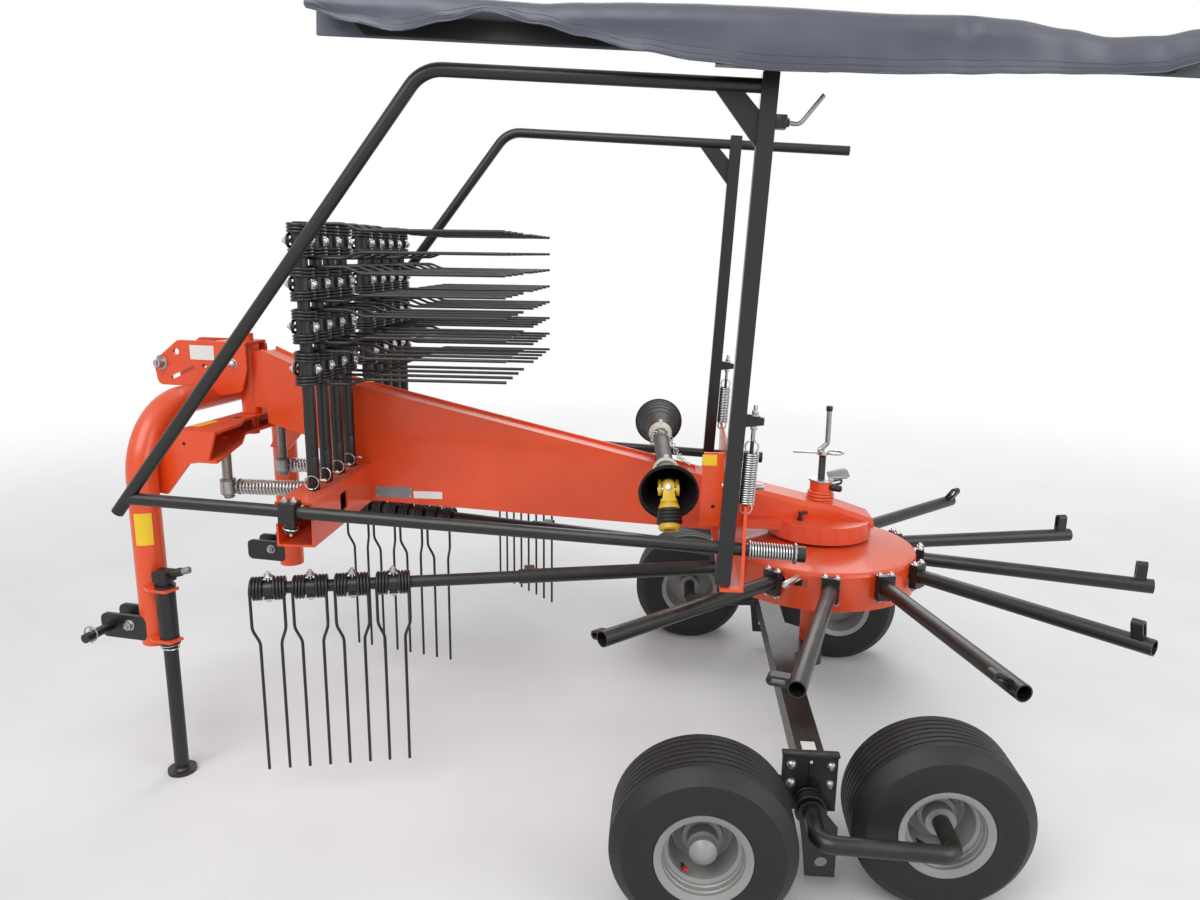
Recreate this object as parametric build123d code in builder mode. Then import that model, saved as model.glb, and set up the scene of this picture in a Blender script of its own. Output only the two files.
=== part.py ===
"""Folded single-rotor hay rake, parked on its stand with most tine arms pulled out and racked.

Units are millimetres and +Z is up. The tractor side is -X, the rear is +X and the rake's left
side is -Y. The origin stands on the ground, in the middle of the machine's length and width.
Stations called x, y are counted from the rotor's axis, which stands at ROTOR_X, ROTOR_Y.
"""

import os
from math import cos, radians, sin, sqrt

from build123d import *

os.makedirs("parts", exist_ok=True)

# Frame
ROTOR_X = 623.0
ROTOR_Y = -117.0
SIDES = (("left", -1), ("right", 1))
SEAT_GAP = 0.3
RUNNING_GAP = 5.0

# Rotor
ARM_COUNT = 12
ARM_Z = 657.0
ARM_OFFSET = 80.0
FIRST_ARM_DEG = 14.08
STUB_R = 21.5
STUB_WALL = 3.5
STUB_END_R = 972.0
HUB_R = 130.0
SPINDLE_R = 38.0
HUB_BORE_R = SPINDLE_R + 0.08
HUB_LOW_Z = 612.0
HUB_TOP_Z = 722.0
DISH_R = 305.0
DISH_LOW_Z = 582.0
DISH_RIM_Z = 696.0
DISH_WALL = 5.0
DISH_CROWN_R = 150.0
DISH_BORE_R = 55.0
DISH_ARM_HOLE_R = 26.0
DISH_EDGE_R = 10.0
DISH_WINDOW = (24.0, 44.0)
DISH_WINDOW_DEG = 252.4
DISH_WINDOW_Z = 664.0
COLLAR = (74.0, 50.0)
COLLAR_LENGTH = 24.0
COLLAR_GAP = 8.0
LUG_INSET = 22.0
LUG_WIDTH = 29.0
LUG_REACH = 52.0
LUG_THICK = 24.0
LUG_SLOT = 12.0

# Tine arms
TINE_ARM_R = 17.5
TINE_ARM_LENGTH = 862.0
TINE_ARM_INSERT = 100.0
TIP_TO_FIRST_UNIT = 50.0
UNIT_PITCH = 115.7
UNIT_COUNT = 4
COIL_R = 35.0
COIL_LENGTH = 28.0
COIL_SPACING = 73.0
SADDLE_R = 25.0
TINE_WIRE = 9.0
TINE_LENGTH = 557.0
TINE_TIP_SPACING = 58.5
KINK_START = 118.0
KINK_END = 152.0
KINK_SET = 14.0
FITTED_ARM_SLOTS = (5, 6, 4)

# Central beam, height stations follow the side of the box
BEAM_HALF_WIDTH = 60.0
BEAM_PROFILE = (
    # x, z
    (-1786.0, 1288.0),
    (-1660.0, 1232.0),
    (-1470.0, 1178.0),
    (-400.0, 928.0),
    (-292.0, 903.0),
    (-292.0, 742.0),
    (-1469.0, 806.0),
    (-1590.0, 940.0),
    (-1640.0, 1010.0),
    (-1776.0, 1052.0),
)
BEAM_TRAY_HALF_WIDTH = 51.0
BEAM_TRAY_DEPTH = 9.0

# Steering knuckle between the beam and the headstock
STEER_X = -1855.0
KNUCKLE_R = 32.0
KNUCKLE_LOW_Z = 1076.0
KNUCKLE_HIGH_Z = 1300.0
NECK_HALF_WIDTH = 25.0
SPIGOT_R = 18.0
SPIGOT_FIT = 0.05
SPIGOT_REACH = 34.0
YOKE_PLATE = 8.0
YOKE_GAP = 1.5

# Headstock, set over at rest by HEAD_YAW_DEG
HEAD_YAW_DEG = -8.8
ARCH_X = -130.0
ARCH_HALF_WIDTH = 373.0
ARCH_TUBE_R = 44.0
ARCH_WALL = 6.0
ARCH_TOP_Z = 1135.0
ARCH_BOTTOM_Z = 415.0
ARCH_BEND_R = 205.0
EAR_INNER_Y = 50.0
EAR_PLATE = 10.0
EAR_FILLET_R = 22.0
TOP_LINK_PIN_R = 12.7
TOP_LINK_X = -282.0
TOP_LINK_Z = 1234.0
CHANNEL_FRONT_X = -38.0
CHANNEL_REAR_X = 96.0
CHANNEL_HALF_LENGTH = 331.0
CHANNEL_END_Z = 980.0
CHANNEL_MIDDLE_Z = 1022.0
CHANNEL_MIDDLE_Y = 110.0
CHANNEL_MIDDLE_X = 45.0
GUSSET_PLATE = 10.0
LINK_PIN_R = 14.25
LINK_PIN_X = -255.0
LINK_PIN_Z = 470.0
LINK_PIN_LENGTH = 110.0
LINK_PLATE = 12.0
LINK_PLATE_Y = 38.0

# Parking stand
STAND_X = -60.0
STAND_OUT = 32.0
STAND_Y = -(ARCH_HALF_WIDTH + STAND_OUT)
STAND_R = 21.0
STAND_TOP_Z = 650.0
STAND_SLEEVE_R = 27.0
STAND_FOOT_R = 42.0
STAND_FOOT = 12.0
HOLDER_LOW_Z = 440.0
HOLDER_HIGH_Z = 601.0
HOLDER_PLATE = 8.0

# Steering struts
STRUT_PIN_Y = 155.0
STRUT_Z = 862.0
STRUT_ROD_R = 8.0
STRUT_EYE_R = 25.0
STRUT_PIN_R = 15.0
STRUT_SPRING_R = 25.0
STRUT_END_X = -1522.0
STRUT_GUIDE_GAP = 36.0
STRUT_GUIDE_WIDTH = 68.0

# Side racks, channels open to the front
RACK_FRONT_X = -1548.0
RACK_REAR_X = -1443.0
RACK_TOP_Z = 930.0
RACK_LOW_Z = 805.0
RACK_LIP_Z = 868.0
RACK_PLATE = 6.0
RACK_REACH = 548.0
RACK_WINDOW = (58.0, 54.0)
RACK_WINDOW_Y = 313.0
RACK_WINDOW_Z = 873.0
RACK_ARM_X = -1496.0
RACK_PITCH = 100.0
RACKED_ARMS = {"left": 4, "right": 5}

# Guards, folded upright about their hinge tubes
GUARD_Y = 573.0
GUARD_TILT_DEG = 2.8
GUARD_TUBE_R = 17.0
GUARD_POST_X = -333.0
GUARD_HINGE_Z = 855.0
GUARD_HINGE_FRONT = -1617.0
GUARD_HINGE_REAR = 205.0
GUARD_LOW_END = (-1647.0, -42.0)
GUARD_CORNER = (-823.0, 1131.0)
GUARD_BEND_R = 95.0
GUARD_POST = (40.0, 40.0)
GUARD_POST_WALL = 4.0
GUARD_POST_LOW = -95.0
GUARD_POST_HIGH = 1160.0
GUARD_TAIL = 400.0
GUARD_TUBE_CAP = (21.0, 27.0)
LOCK_SPRING_R = 18.0
LOCK_SPRING_U = 42.0
LOCK_SPRING_LOW = 126.0
LOCK_SPRING_HIGH = 259.0
LOCK_ROD_R = 5.0
LOCK_LUG_Z = 345.0

# Swath curtain on the left guard
CURTAIN_BAR_FRONT = -975.0
CURTAIN_BAR_REAR = 900.0
CURTAIN_BAR_LOW = 1192.0
CURTAIN_BAR_HIGH = 1232.0
CURTAIN_BAR_Y = 36.0
CURTAIN_BAR = 6.0
CURTAIN_OVERHANG = 95.0
CURTAIN_SKIN = 8.0
CURTAIN_HEM_Y = 122.0
CURTAIN_HEM_Z = 1150.0

# Gearbox cover with its spine and height crank
COVER_R = 163.0
COVER_LOW_Z = 738.0
COVER_HIGH_Z = 792.0
NECK_LOW_Z = 765.0
COVER_NECK_HALF_WIDTH = 100.0
SPINE_HALF_WIDTH = 70.0
SPINE_CHAMFER = 14.0
SPINE_PROFILE = (
    # x, z behind the cross member
    (-40.0, 846.0),
    (40.0, 836.0),
    (158.0, 797.0),
    (158.0, 770.0),
)
SPINE_FRONT_Z = 901.0
BOSS_R = 34.0
BOSS_RING_R = 42.0
BOSS_HIGH_Z = 902.0
CRANK_STEM_R = 14.0
CRANK_ARM_Z = 994.0
CRANK_ARM = (150.0, 24.0, 7.0)
CRANK_ARM_X = -16.0
CRANK_HANDLE_X = 12.0
CRANK_HANDLE_R = 8.0
CRANK_GRIP_R = 13.0
CRANK_GRIP_LOW_Z = 1037.0
CRANK_TOP_Z = 1143.0

# Rear cross member
CROSS_FRONT_X = -292.0
CROSS_PLATE = 8.0
CROSS_REAR_X = CROSS_FRONT_X + CROSS_PLATE
CROSS_LOW_Z = 744.0
CROSS_HIGH_Z = 973.0
CROSS_FOOT_X = -345.0
CROSS_REACH = 27.0
SHIELD_Y = -450.0
SHIELD_OUTLINE = (
    # x, z
    (-398.0, 875.0),
    (-398.0, 975.0),
    (-392.0, 1080.0),
    (-338.0, 1080.0),
    (-336.0, 975.0),
    (-292.0, 970.0),
    (-292.0, 875.0),
)

# Undercarriage
AXLE_X = -105.0
AXLE_Z = 330.0
AXLE_BOX = 70.0
AXLE_HALF_LENGTH = 708.0
BOGIE_Z = 235.0
BOGIE_TUBE_R = 22.0
BOGIE_BEND_R = 36.0
FRONT_WHEEL_X = -380.0
REAR_WHEEL_X = 215.0
FRONT_WHEEL_Y = 870.0
REAR_WHEEL_Y = 721.0
TYRE_R = 225.0
TYRE_WIDTH = 215.0
RIM_R = 117.0
RIM_WIDTH = 190.0
RIM_DISC_DEPTH = 100.0
HUB_SHELL_R = 38.0
HUB_CAP_R = 32.0
TIE_PLATE_OUTLINE = (
    # x, z
    (-137.0, 235.0),
    (-73.0, 235.0),
    (-35.0, 190.0),
    (-35.0, 50.0),
    (-110.0, 50.0),
    (-122.0, 150.0),
)
TIE_PLATE = 8.0
TIE_HOLE_R = 16.0
PIVOT_RING = (34.0, 6.0)

# Drive shaft laid across the beam
SHAFT_NEAR = (-484.0, -400.0, 961.6)
SHAFT_FAR = (-525.0, 420.0, 1002.3)
SHAFT_R = 26.0
SHAFT_END_GAP = 22.0
SHAFT_BELL_R = 82.0
SHAFT_BELL_WALL = 5.0
SHAFT_BELL_NECK_R = 34.0
SHAFT_BELL_LENGTH = 150.0
SHAFT_BELL_DROOP = 10.0
YOKE_TIP = (-478.0, -455.0, 862.0)
YOKE_R = 24.0
YOKE_BOOT_R = 36.0
YOKE_RING_R = 30.0
YOKE_RING = 16.0
YOKE_BORE_R = 17.5


def at(x, y, z):
    """A point given from the rotor's axis, in the model's frame."""
    return Vector(ROTOR_X + x, ROTOR_Y + y, z)


def side_plane(y):
    """Upright plane along the machine: sketch x is the station x, sketch y is z."""
    return Plane(origin=at(0, y, 0), x_dir=(1, 0, 0), z_dir=(0, -1, 0))


def cross_plane(x):
    """Upright plane across the machine: sketch x is the station y, sketch y is z."""
    return Plane(origin=at(x, 0, 0), x_dir=(0, 1, 0), z_dir=(1, 0, 0))


def level_plane(z):
    """Level plane: sketch x, y are the stations x, y."""
    return Plane(origin=at(0, 0, z))


HEAD = Location(at(STEER_X, 0, 0), (0, 0, HEAD_YAW_DEG))


def head_plane(plane):
    """A plane given from the steering axis, turned with the headstock."""
    return Plane(HEAD * plane.location)


def head_point(x, y, z):
    """A point given from the steering axis, turned with the headstock."""
    return (HEAD * Location((x, y, z))).position


def guard_plane(side):
    """Plane of a folded guard: sketch x runs back along the hinge, sketch y up the post."""
    tilt = radians(GUARD_TILT_DEG)
    return Plane(
        origin=at(GUARD_POST_X, side * GUARD_Y, GUARD_HINGE_Z),
        x_dir=(cos(tilt), 0, -sin(tilt)),
        z_dir=(0, -1, 0),
    )


def save(piece, name):
    """Names one finished piece and writes its file."""
    piece.part.label = name
    export_step(piece.part, f"parts/{name}.step")


# Rotor

def arm_plane(slot):
    """Plane across a rotor arm at its foot; z_dir runs outwards along the arm and x_dir is down."""
    heading = radians(FIRST_ARM_DEG + slot * 360.0 / ARM_COUNT)
    foot = at(-ARM_OFFSET * sin(heading), ARM_OFFSET * cos(heading), ARM_Z)
    return Plane(origin=foot, x_dir=(0, 0, -1), z_dir=(cos(heading), sin(heading), 0))


STUB_REACH = sqrt(STUB_END_R**2 - ARM_OFFSET**2)

# Lug positions follow the cam that turns each arm: rotor slot, angle about the arm
LUG_ANGLES = (
    # slot, degrees from downwards
    (0, 180.0),
    (1, 215.0),
    (2, 250.0),
    (3, 270.0),
    (4, 270.0),
    (5, 270.0),
    (6, 270.0),
    (7, 285.0),
    (8, 270.0),
    (9, 240.0),
    (10, 200.0),
    (11, 180.0),
)

with BuildPart() as rotor_hub:
    with BuildSketch(level_plane(HUB_LOW_Z)):
        Circle(HUB_R)
        Circle(HUB_BORE_R, mode=Mode.SUBTRACT)
    extrude(amount=HUB_TOP_Z - HUB_LOW_Z)
save(rotor_hub, "rotor_hub")

with BuildPart() as rotor_arms:
    for slot, lug_angle in LUG_ANGLES:
        foot = arm_plane(slot)
        hub_exit = sqrt(HUB_R**2 - ARM_OFFSET**2) - STUB_R
        with BuildSketch(foot.offset(hub_exit)):
            Circle(STUB_R)
        extrude(amount=STUB_REACH - hub_exit)
        socket = foot.offset(STUB_REACH - TINE_ARM_INSERT - 2 * RUNNING_GAP)
        with BuildSketch(socket):
            Circle(STUB_R - STUB_WALL)
        extrude(amount=TINE_ARM_INSERT + 3 * RUNNING_GAP, mode=Mode.SUBTRACT)
        lug = foot.offset(STUB_REACH - LUG_INSET - LUG_WIDTH)
        lug_way = lug.x_dir * cos(radians(lug_angle)) + lug.y_dir * sin(radians(lug_angle))
        with BuildSketch(Plane(origin=lug.origin, x_dir=lug_way, z_dir=lug.z_dir)):
            with Locations((STUB_R - STUB_WALL / 2 + LUG_REACH / 2, 0)):
                SlotOverall(LUG_REACH + STUB_WALL, LUG_THICK)
            with Locations((STUB_R + LUG_THICK / 4, 0)):
                Rectangle(LUG_THICK / 2 + STUB_WALL, LUG_THICK)
            with Locations((STUB_R + LUG_REACH / 2, 0)):
                SlotOverall(LUG_REACH - LUG_SLOT, LUG_SLOT, mode=Mode.SUBTRACT)
        extrude(amount=LUG_WIDTH)
        wall_exit = sqrt(DISH_R**2 - ARM_OFFSET**2)
        with BuildSketch(foot.offset(wall_exit + COLLAR_GAP)):
            Rectangle(*COLLAR)
        extrude(amount=COLLAR_LENGTH)
    with BuildSketch(level_plane(HUB_LOW_Z)):
        Circle(HUB_R + SEAT_GAP)
    extrude(amount=HUB_TOP_Z - HUB_LOW_Z, mode=Mode.SUBTRACT)
save(rotor_arms, "rotor_arms")

with BuildPart() as rotor_dish:
    with BuildSketch(Plane(origin=at(0, 0, 0), x_dir=(1, 0, 0), z_dir=(0, -1, 0))):
        with BuildLine():
            Polyline(
                (DISH_BORE_R, HUB_TOP_Z),
                (DISH_CROWN_R, HUB_TOP_Z),
                (DISH_R - DISH_WALL, DISH_RIM_Z - DISH_WALL),
                (DISH_R - DISH_WALL, DISH_LOW_Z),
                (DISH_R, DISH_LOW_Z),
                (DISH_R, DISH_RIM_Z - DISH_EDGE_R),
                (DISH_R - DISH_EDGE_R * 0.3, DISH_RIM_Z - DISH_EDGE_R * 0.2),
                (DISH_R - DISH_EDGE_R, DISH_RIM_Z + DISH_EDGE_R * 0.2),
                (DISH_CROWN_R, HUB_TOP_Z + DISH_WALL),
                (DISH_BORE_R, HUB_TOP_Z + DISH_WALL),
                close=True,
            )
        make_face()
    revolve(axis=Axis(at(0, 0, 0), (0, 0, 1)))
    for slot in range(ARM_COUNT):
        wall_exit = sqrt(DISH_R**2 - ARM_OFFSET**2)
        with BuildSketch(arm_plane(slot).offset(wall_exit - 60)):
            Circle(DISH_ARM_HOLE_R)
        extrude(amount=120, mode=Mode.SUBTRACT)
    facing = radians(DISH_WINDOW_DEG)
    outward = Vector(cos(facing), sin(facing), 0)
    window = Plane(origin=at(0, 0, DISH_WINDOW_Z) + outward * (DISH_R - 30), x_dir=(0, 0, -1), z_dir=outward)
    with BuildSketch(window):
        RectangleRounded(*DISH_WINDOW, 4)
    extrude(amount=60, mode=Mode.SUBTRACT)
save(rotor_dish, "rotor_dish")


# Tine arms

UNIT_STATIONS = [TINE_ARM_LENGTH - TIP_TO_FIRST_UNIT - n * UNIT_PITCH for n in range(UNIT_COUNT)]
OCTAGON = 1.0 / cos(radians(22.5))


def tine_unit():
    """One double tine about a tube that lies on Z, with its tines along +X."""
    with BuildPart() as unit:
        with BuildSketch(Plane.XY.offset(-COIL_SPACING / 2)):
            RegularPolygon(SADDLE_R, 8)
        extrude(amount=COIL_SPACING)
        for end in (-1, 1):
            middle = end * COIL_SPACING / 2
            with BuildSketch(Plane.XY.offset(middle - COIL_LENGTH / 2)):
                RegularPolygon(COIL_R, 8)
            extrude(amount=COIL_LENGTH)
            root = middle + end * (COIL_LENGTH - TINE_WIRE) / 2
            tip = end * TINE_TIP_SPACING / 2
            drop = COIL_R - TINE_WIRE / 2
            with BuildLine():
                path = Polyline(
                    (0, drop, root),
                    (KINK_START, drop, root),
                    (KINK_END, drop - KINK_SET, tip),
                    (TINE_LENGTH, drop - KINK_SET, tip),
                )
            with BuildSketch(Plane(origin=path @ 0, z_dir=path % 0)):
                Rectangle(TINE_WIRE, TINE_WIRE)
            sweep(transition=Transition.RIGHT)
        with BuildSketch(Plane.XY.offset(-COIL_SPACING)):
            RegularPolygon((TINE_ARM_R + SEAT_GAP) * OCTAGON, 8)
        extrude(amount=2 * COIL_SPACING, mode=Mode.SUBTRACT)
    return unit.part


def tines_at(planes):
    """The double tines of the arms whose foot planes are given, as separate solids."""
    unit = tine_unit()
    with BuildPart() as group:
        for plane in planes:
            for station in UNIT_STATIONS:
                add(unit.moved(plane.offset(station).location), clean=False)
    return group


def tubes_at(planes):
    """The tubes of the arms whose foot planes are given."""
    with BuildPart() as group:
        for plane in planes:
            with BuildSketch(plane):
                Circle(TINE_ARM_R)
            extrude(amount=TINE_ARM_LENGTH)
    return group


fitted_planes = [arm_plane(slot).offset(STUB_REACH - TINE_ARM_INSERT) for slot in FITTED_ARM_SLOTS]
fitted_arms = tubes_at(fitted_planes)
save(fitted_arms, "fitted_tine_arms")
fitted_tines = tines_at(fitted_planes)
save(fitted_tines, "fitted_tines")

RACKED_FOOT_Z = RACK_LOW_Z + RACK_PLATE + SEAT_GAP
racked_arms = {}
racked_tines = {}
for side_name, side in SIDES:
    racked_planes = [
        Plane(
            origin=at(RACK_ARM_X, side * RACK_PITCH * (n + 1), RACKED_FOOT_Z),
            x_dir=(1, 0, 0),
            z_dir=(0, 0, 1),
        )
        for n in range(RACKED_ARMS[side_name])
    ]
    racked_arms[side_name] = tubes_at(racked_planes)
    save(racked_arms[side_name], f"racked_arms_{side_name}")
    racked_tines[side_name] = tines_at(racked_planes)
    save(racked_tines[side_name], f"racked_tines_{side_name}")


# Beam, with the steering knuckle at its nose

with BuildPart() as main_beam:
    with BuildSketch(side_plane(0)):
        with BuildLine():
            Polyline(*BEAM_PROFILE, close=True)
        make_face()
    extrude(amount=BEAM_HALF_WIDTH, both=True)
    with BuildSketch(side_plane(0)):
        with BuildLine():
            Polyline(
                (STEER_X, KNUCKLE_LOW_Z + 20),
                (BEAM_PROFILE[1][0], KNUCKLE_LOW_Z + 20),
                (BEAM_PROFILE[1][0], BEAM_PROFILE[1][1] - 10),
                (BEAM_PROFILE[0][0], BEAM_PROFILE[0][1] - 10),
                (STEER_X, BEAM_PROFILE[0][1] - 10),
                close=True,
            )
        make_face()
    extrude(amount=NECK_HALF_WIDTH, both=True)
    with BuildSketch(side_plane(0)):
        with BuildLine():
            tray = BEAM_PROFILE[:4]
            Polyline(
                *[(x, z + BEAM_TRAY_DEPTH) for x, z in tray],
                *[(x, z - BEAM_TRAY_DEPTH) for x, z in reversed(tray)],
                close=True,
            )
        make_face()
    extrude(amount=BEAM_TRAY_HALF_WIDTH, both=True, mode=Mode.SUBTRACT)
    with BuildSketch(Plane(origin=at(STEER_X, 0, KNUCKLE_LOW_Z))):
        Circle(KNUCKLE_R)
    extrude(amount=KNUCKLE_HIGH_Z - KNUCKLE_LOW_Z)
    spigot_low_z = CHANNEL_MIDDLE_Z - SPIGOT_REACH / 2
    with BuildSketch(Plane(origin=at(STEER_X, 0, spigot_low_z))):
        Circle(SPIGOT_R)
    extrude(amount=KNUCKLE_HIGH_Z + SPIGOT_REACH - spigot_low_z)
save(main_beam, "main_beam")


# Headstock

EAR_TOP_Z = KNUCKLE_HIGH_Z + YOKE_GAP + YOKE_PLATE
EAR_OUTLINE = (
    # x from the steering axis, z
    (30.0, EAR_TOP_Z),
    (-217.0, EAR_TOP_Z),
    (-312.0, 1238.0),
    (-300.0, 1162.0),
    (-130.0, 1162.0),
    (-75.0, 1136.0),
    (8.0, 1150.0),
    (30.0, 1225.0),
)
EAR_SLOT = (100.0, 13.0)
EAR_SLOT_AT = (-205.0, 1206.0)
EAR_SLOT_DEG = 24.0
EAR_HOLES = (
    # x from the steering axis, z, radius
    (-124.0, 1229.0, 8.0),
    (-225.0, 1272.0, 11.0),
)

with BuildPart() as headstock_arch:
    with BuildLine():
        arch_path = FilletPolyline(
            head_point(ARCH_X, -ARCH_HALF_WIDTH, ARCH_BOTTOM_Z),
            head_point(ARCH_X, -ARCH_HALF_WIDTH, ARCH_TOP_Z),
            head_point(ARCH_X, ARCH_HALF_WIDTH, ARCH_TOP_Z),
            head_point(ARCH_X, ARCH_HALF_WIDTH, ARCH_BOTTOM_Z),
            radius=ARCH_BEND_R,
        )
    with BuildSketch(Plane(origin=arch_path @ 0, z_dir=arch_path % 0)):
        Circle(ARCH_TUBE_R)
        Circle(ARCH_TUBE_R - ARCH_WALL, mode=Mode.SUBTRACT)
    sweep()
    for ear_side in (-1, 1):
        middle_y = ear_side * (EAR_INNER_Y + EAR_PLATE / 2)
        ear = head_plane(Plane(origin=(0, middle_y, 0), x_dir=(1, 0, 0), z_dir=(0, -1, 0)))
        with BuildSketch(ear):
            with BuildLine():
                Polyline(*EAR_OUTLINE, close=True)
            make_face()
            fillet(vertices(), radius=EAR_FILLET_R)
            with Locations(Location((*EAR_SLOT_AT, 0), (0, 0, EAR_SLOT_DEG))):
                SlotOverall(*EAR_SLOT, mode=Mode.SUBTRACT)
            for hole_x, hole_z, hole_r in EAR_HOLES:
                with Locations((hole_x, hole_z)):
                    Circle(hole_r, mode=Mode.SUBTRACT)
        extrude(amount=EAR_PLATE / 2, both=True)
    with BuildSketch(head_plane(Plane.XY.offset(KNUCKLE_HIGH_Z + YOKE_GAP))):
        with Locations((-30, 0)):
            Rectangle(116, 2 * EAR_INNER_Y + EAR_PLATE)
        Circle(SPIGOT_R + SPIGOT_FIT, mode=Mode.SUBTRACT)
    extrude(amount=YOKE_PLATE)
    with BuildSketch(head_plane(Plane.XZ.offset(EAR_INNER_Y + 34))):
        with Locations((TOP_LINK_X, TOP_LINK_Z)):
            Circle(TOP_LINK_PIN_R)
    extrude(amount=-2 * (EAR_INNER_Y + 34))
save(headstock_arch, "headstock_arch")

CHANNEL_TOP_Z = KNUCKLE_LOW_Z - YOKE_GAP
GUSSET_OUTLINE = (
    # x from the steering axis, z
    (CHANNEL_REAR_X, CHANNEL_TOP_Z),
    (CHANNEL_FRONT_X, CHANNEL_TOP_Z),
    (ARCH_X + 44.0, 1010.0),
    (ARCH_X - 29.0, 882.0),
    (ARCH_X + 47.0, 875.0),
    (0.0, CHANNEL_END_Z - 7.0),
    (CHANNEL_REAR_X - 28.0, CHANNEL_END_Z + 7.0),
)

with BuildPart() as headstock_channel:
    with BuildSketch(head_plane(Plane.YZ.offset(CHANNEL_FRONT_X))):
        with BuildLine():
            Polyline(
                (-CHANNEL_HALF_LENGTH, CHANNEL_END_Z),
                (-CHANNEL_HALF_LENGTH, CHANNEL_TOP_Z),
                (CHANNEL_HALF_LENGTH, CHANNEL_TOP_Z),
                (CHANNEL_HALF_LENGTH, CHANNEL_END_Z),
                (CHANNEL_MIDDLE_Y, CHANNEL_MIDDLE_Z),
                (-CHANNEL_MIDDLE_Y, CHANNEL_MIDDLE_Z),
                close=True,
            )
        make_face()
    extrude(amount=CHANNEL_REAR_X - CHANNEL_FRONT_X)
    with BuildSketch(head_plane(Plane.YZ.offset(CHANNEL_FRONT_X + YOKE_PLATE))):
        with BuildLine():
            Polyline(
                (-CHANNEL_HALF_LENGTH, CHANNEL_END_Z + YOKE_PLATE),
                (-CHANNEL_HALF_LENGTH, CHANNEL_TOP_Z - YOKE_PLATE),
                (CHANNEL_HALF_LENGTH, CHANNEL_TOP_Z - YOKE_PLATE),
                (CHANNEL_HALF_LENGTH, CHANNEL_END_Z + YOKE_PLATE),
                (CHANNEL_MIDDLE_Y, CHANNEL_MIDDLE_Z + YOKE_PLATE),
                (-CHANNEL_MIDDLE_Y, CHANNEL_MIDDLE_Z + YOKE_PLATE),
                close=True,
            )
        make_face()
    extrude(amount=CHANNEL_REAR_X - CHANNEL_FRONT_X, mode=Mode.SUBTRACT)
    with BuildSketch(head_plane(Plane.XY.offset(CHANNEL_END_Z - 10))):
        with BuildLine():
            Polyline(
                (CHANNEL_MIDDLE_X, CHANNEL_MIDDLE_Y),
                (CHANNEL_REAR_X - 16, 180.0),
                (CHANNEL_REAR_X + 1, CHANNEL_HALF_LENGTH),
                (CHANNEL_REAR_X + 99, CHANNEL_HALF_LENGTH),
                (CHANNEL_REAR_X + 99, -CHANNEL_HALF_LENGTH),
                (CHANNEL_REAR_X + 1, -CHANNEL_HALF_LENGTH),
                (CHANNEL_REAR_X - 16, -180.0),
                (CHANNEL_MIDDLE_X, -CHANNEL_MIDDLE_Y),
                close=True,
            )
        make_face()
        Circle(SPIGOT_R + SPIGOT_FIT)
    extrude(amount=CHANNEL_TOP_Z - CHANNEL_END_Z + 20, mode=Mode.SUBTRACT)
    for end in (-1, 1):
        gusset_y = end * (CHANNEL_HALF_LENGTH - GUSSET_PLATE / 2)
        gusset = head_plane(Plane(origin=(0, gusset_y, 0), x_dir=(1, 0, 0), z_dir=(0, -1, 0)))
        with BuildSketch(gusset):
            with BuildLine():
                Polyline(*GUSSET_OUTLINE, close=True)
            make_face()
        extrude(amount=GUSSET_PLATE / 2, both=True)
    with BuildLine():
        cut_path = FilletPolyline(
            head_point(ARCH_X, -ARCH_HALF_WIDTH, ARCH_BOTTOM_Z),
            head_point(ARCH_X, -ARCH_HALF_WIDTH, ARCH_TOP_Z),
            head_point(ARCH_X, ARCH_HALF_WIDTH, ARCH_TOP_Z),
            head_point(ARCH_X, ARCH_HALF_WIDTH, ARCH_BOTTOM_Z),
            radius=ARCH_BEND_R,
        )
    with BuildSketch(Plane(origin=cut_path @ 0, z_dir=cut_path % 0)):
        Circle(ARCH_TUBE_R)
    sweep(mode=Mode.SUBTRACT)
    with BuildSketch(head_plane(Plane.XY.offset(STRUT_Z - STRUT_EYE_R - 12))):
        with Locations((0, -STRUT_PIN_Y), (0, STRUT_PIN_Y)):
            Circle(STRUT_PIN_R)
    extrude(amount=CHANNEL_MIDDLE_Z - STRUT_Z + STRUT_EYE_R + 12)
save(headstock_channel, "headstock_channel")

for side_name, side in SIDES:
    with BuildPart() as link_bracket:
        for plate_y in (-LINK_PLATE_Y, LINK_PLATE_Y):
            face = Plane(
                origin=(0, side * (ARCH_HALF_WIDTH + plate_y), 0), x_dir=(1, 0, 0), z_dir=(0, -1, 0)
            )
            with BuildSketch(head_plane(face)):
                with Locations((LINK_PIN_X + 45, LINK_PIN_Z)):
                    RectangleRounded(160, 76, 20)
            extrude(amount=LINK_PLATE / 2, both=True)
        pin_start = side * (ARCH_HALF_WIDTH - LINK_PLATE_Y)
        pin_plane = Plane(
            origin=(LINK_PIN_X, pin_start, LINK_PIN_Z), x_dir=(1, 0, 0), z_dir=(0, side, 0)
        )
        with BuildSketch(head_plane(pin_plane)):
            Circle(LINK_PIN_R)
        extrude(amount=LINK_PIN_LENGTH + 2 * LINK_PLATE_Y)
        with BuildSketch(head_plane(Plane((ARCH_X, side * ARCH_HALF_WIDTH, LINK_PIN_Z - 60)))):
            Circle(ARCH_TUBE_R)
        extrude(amount=120, mode=Mode.SUBTRACT)
    save(link_bracket, f"lower_link_{side_name}")

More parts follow.
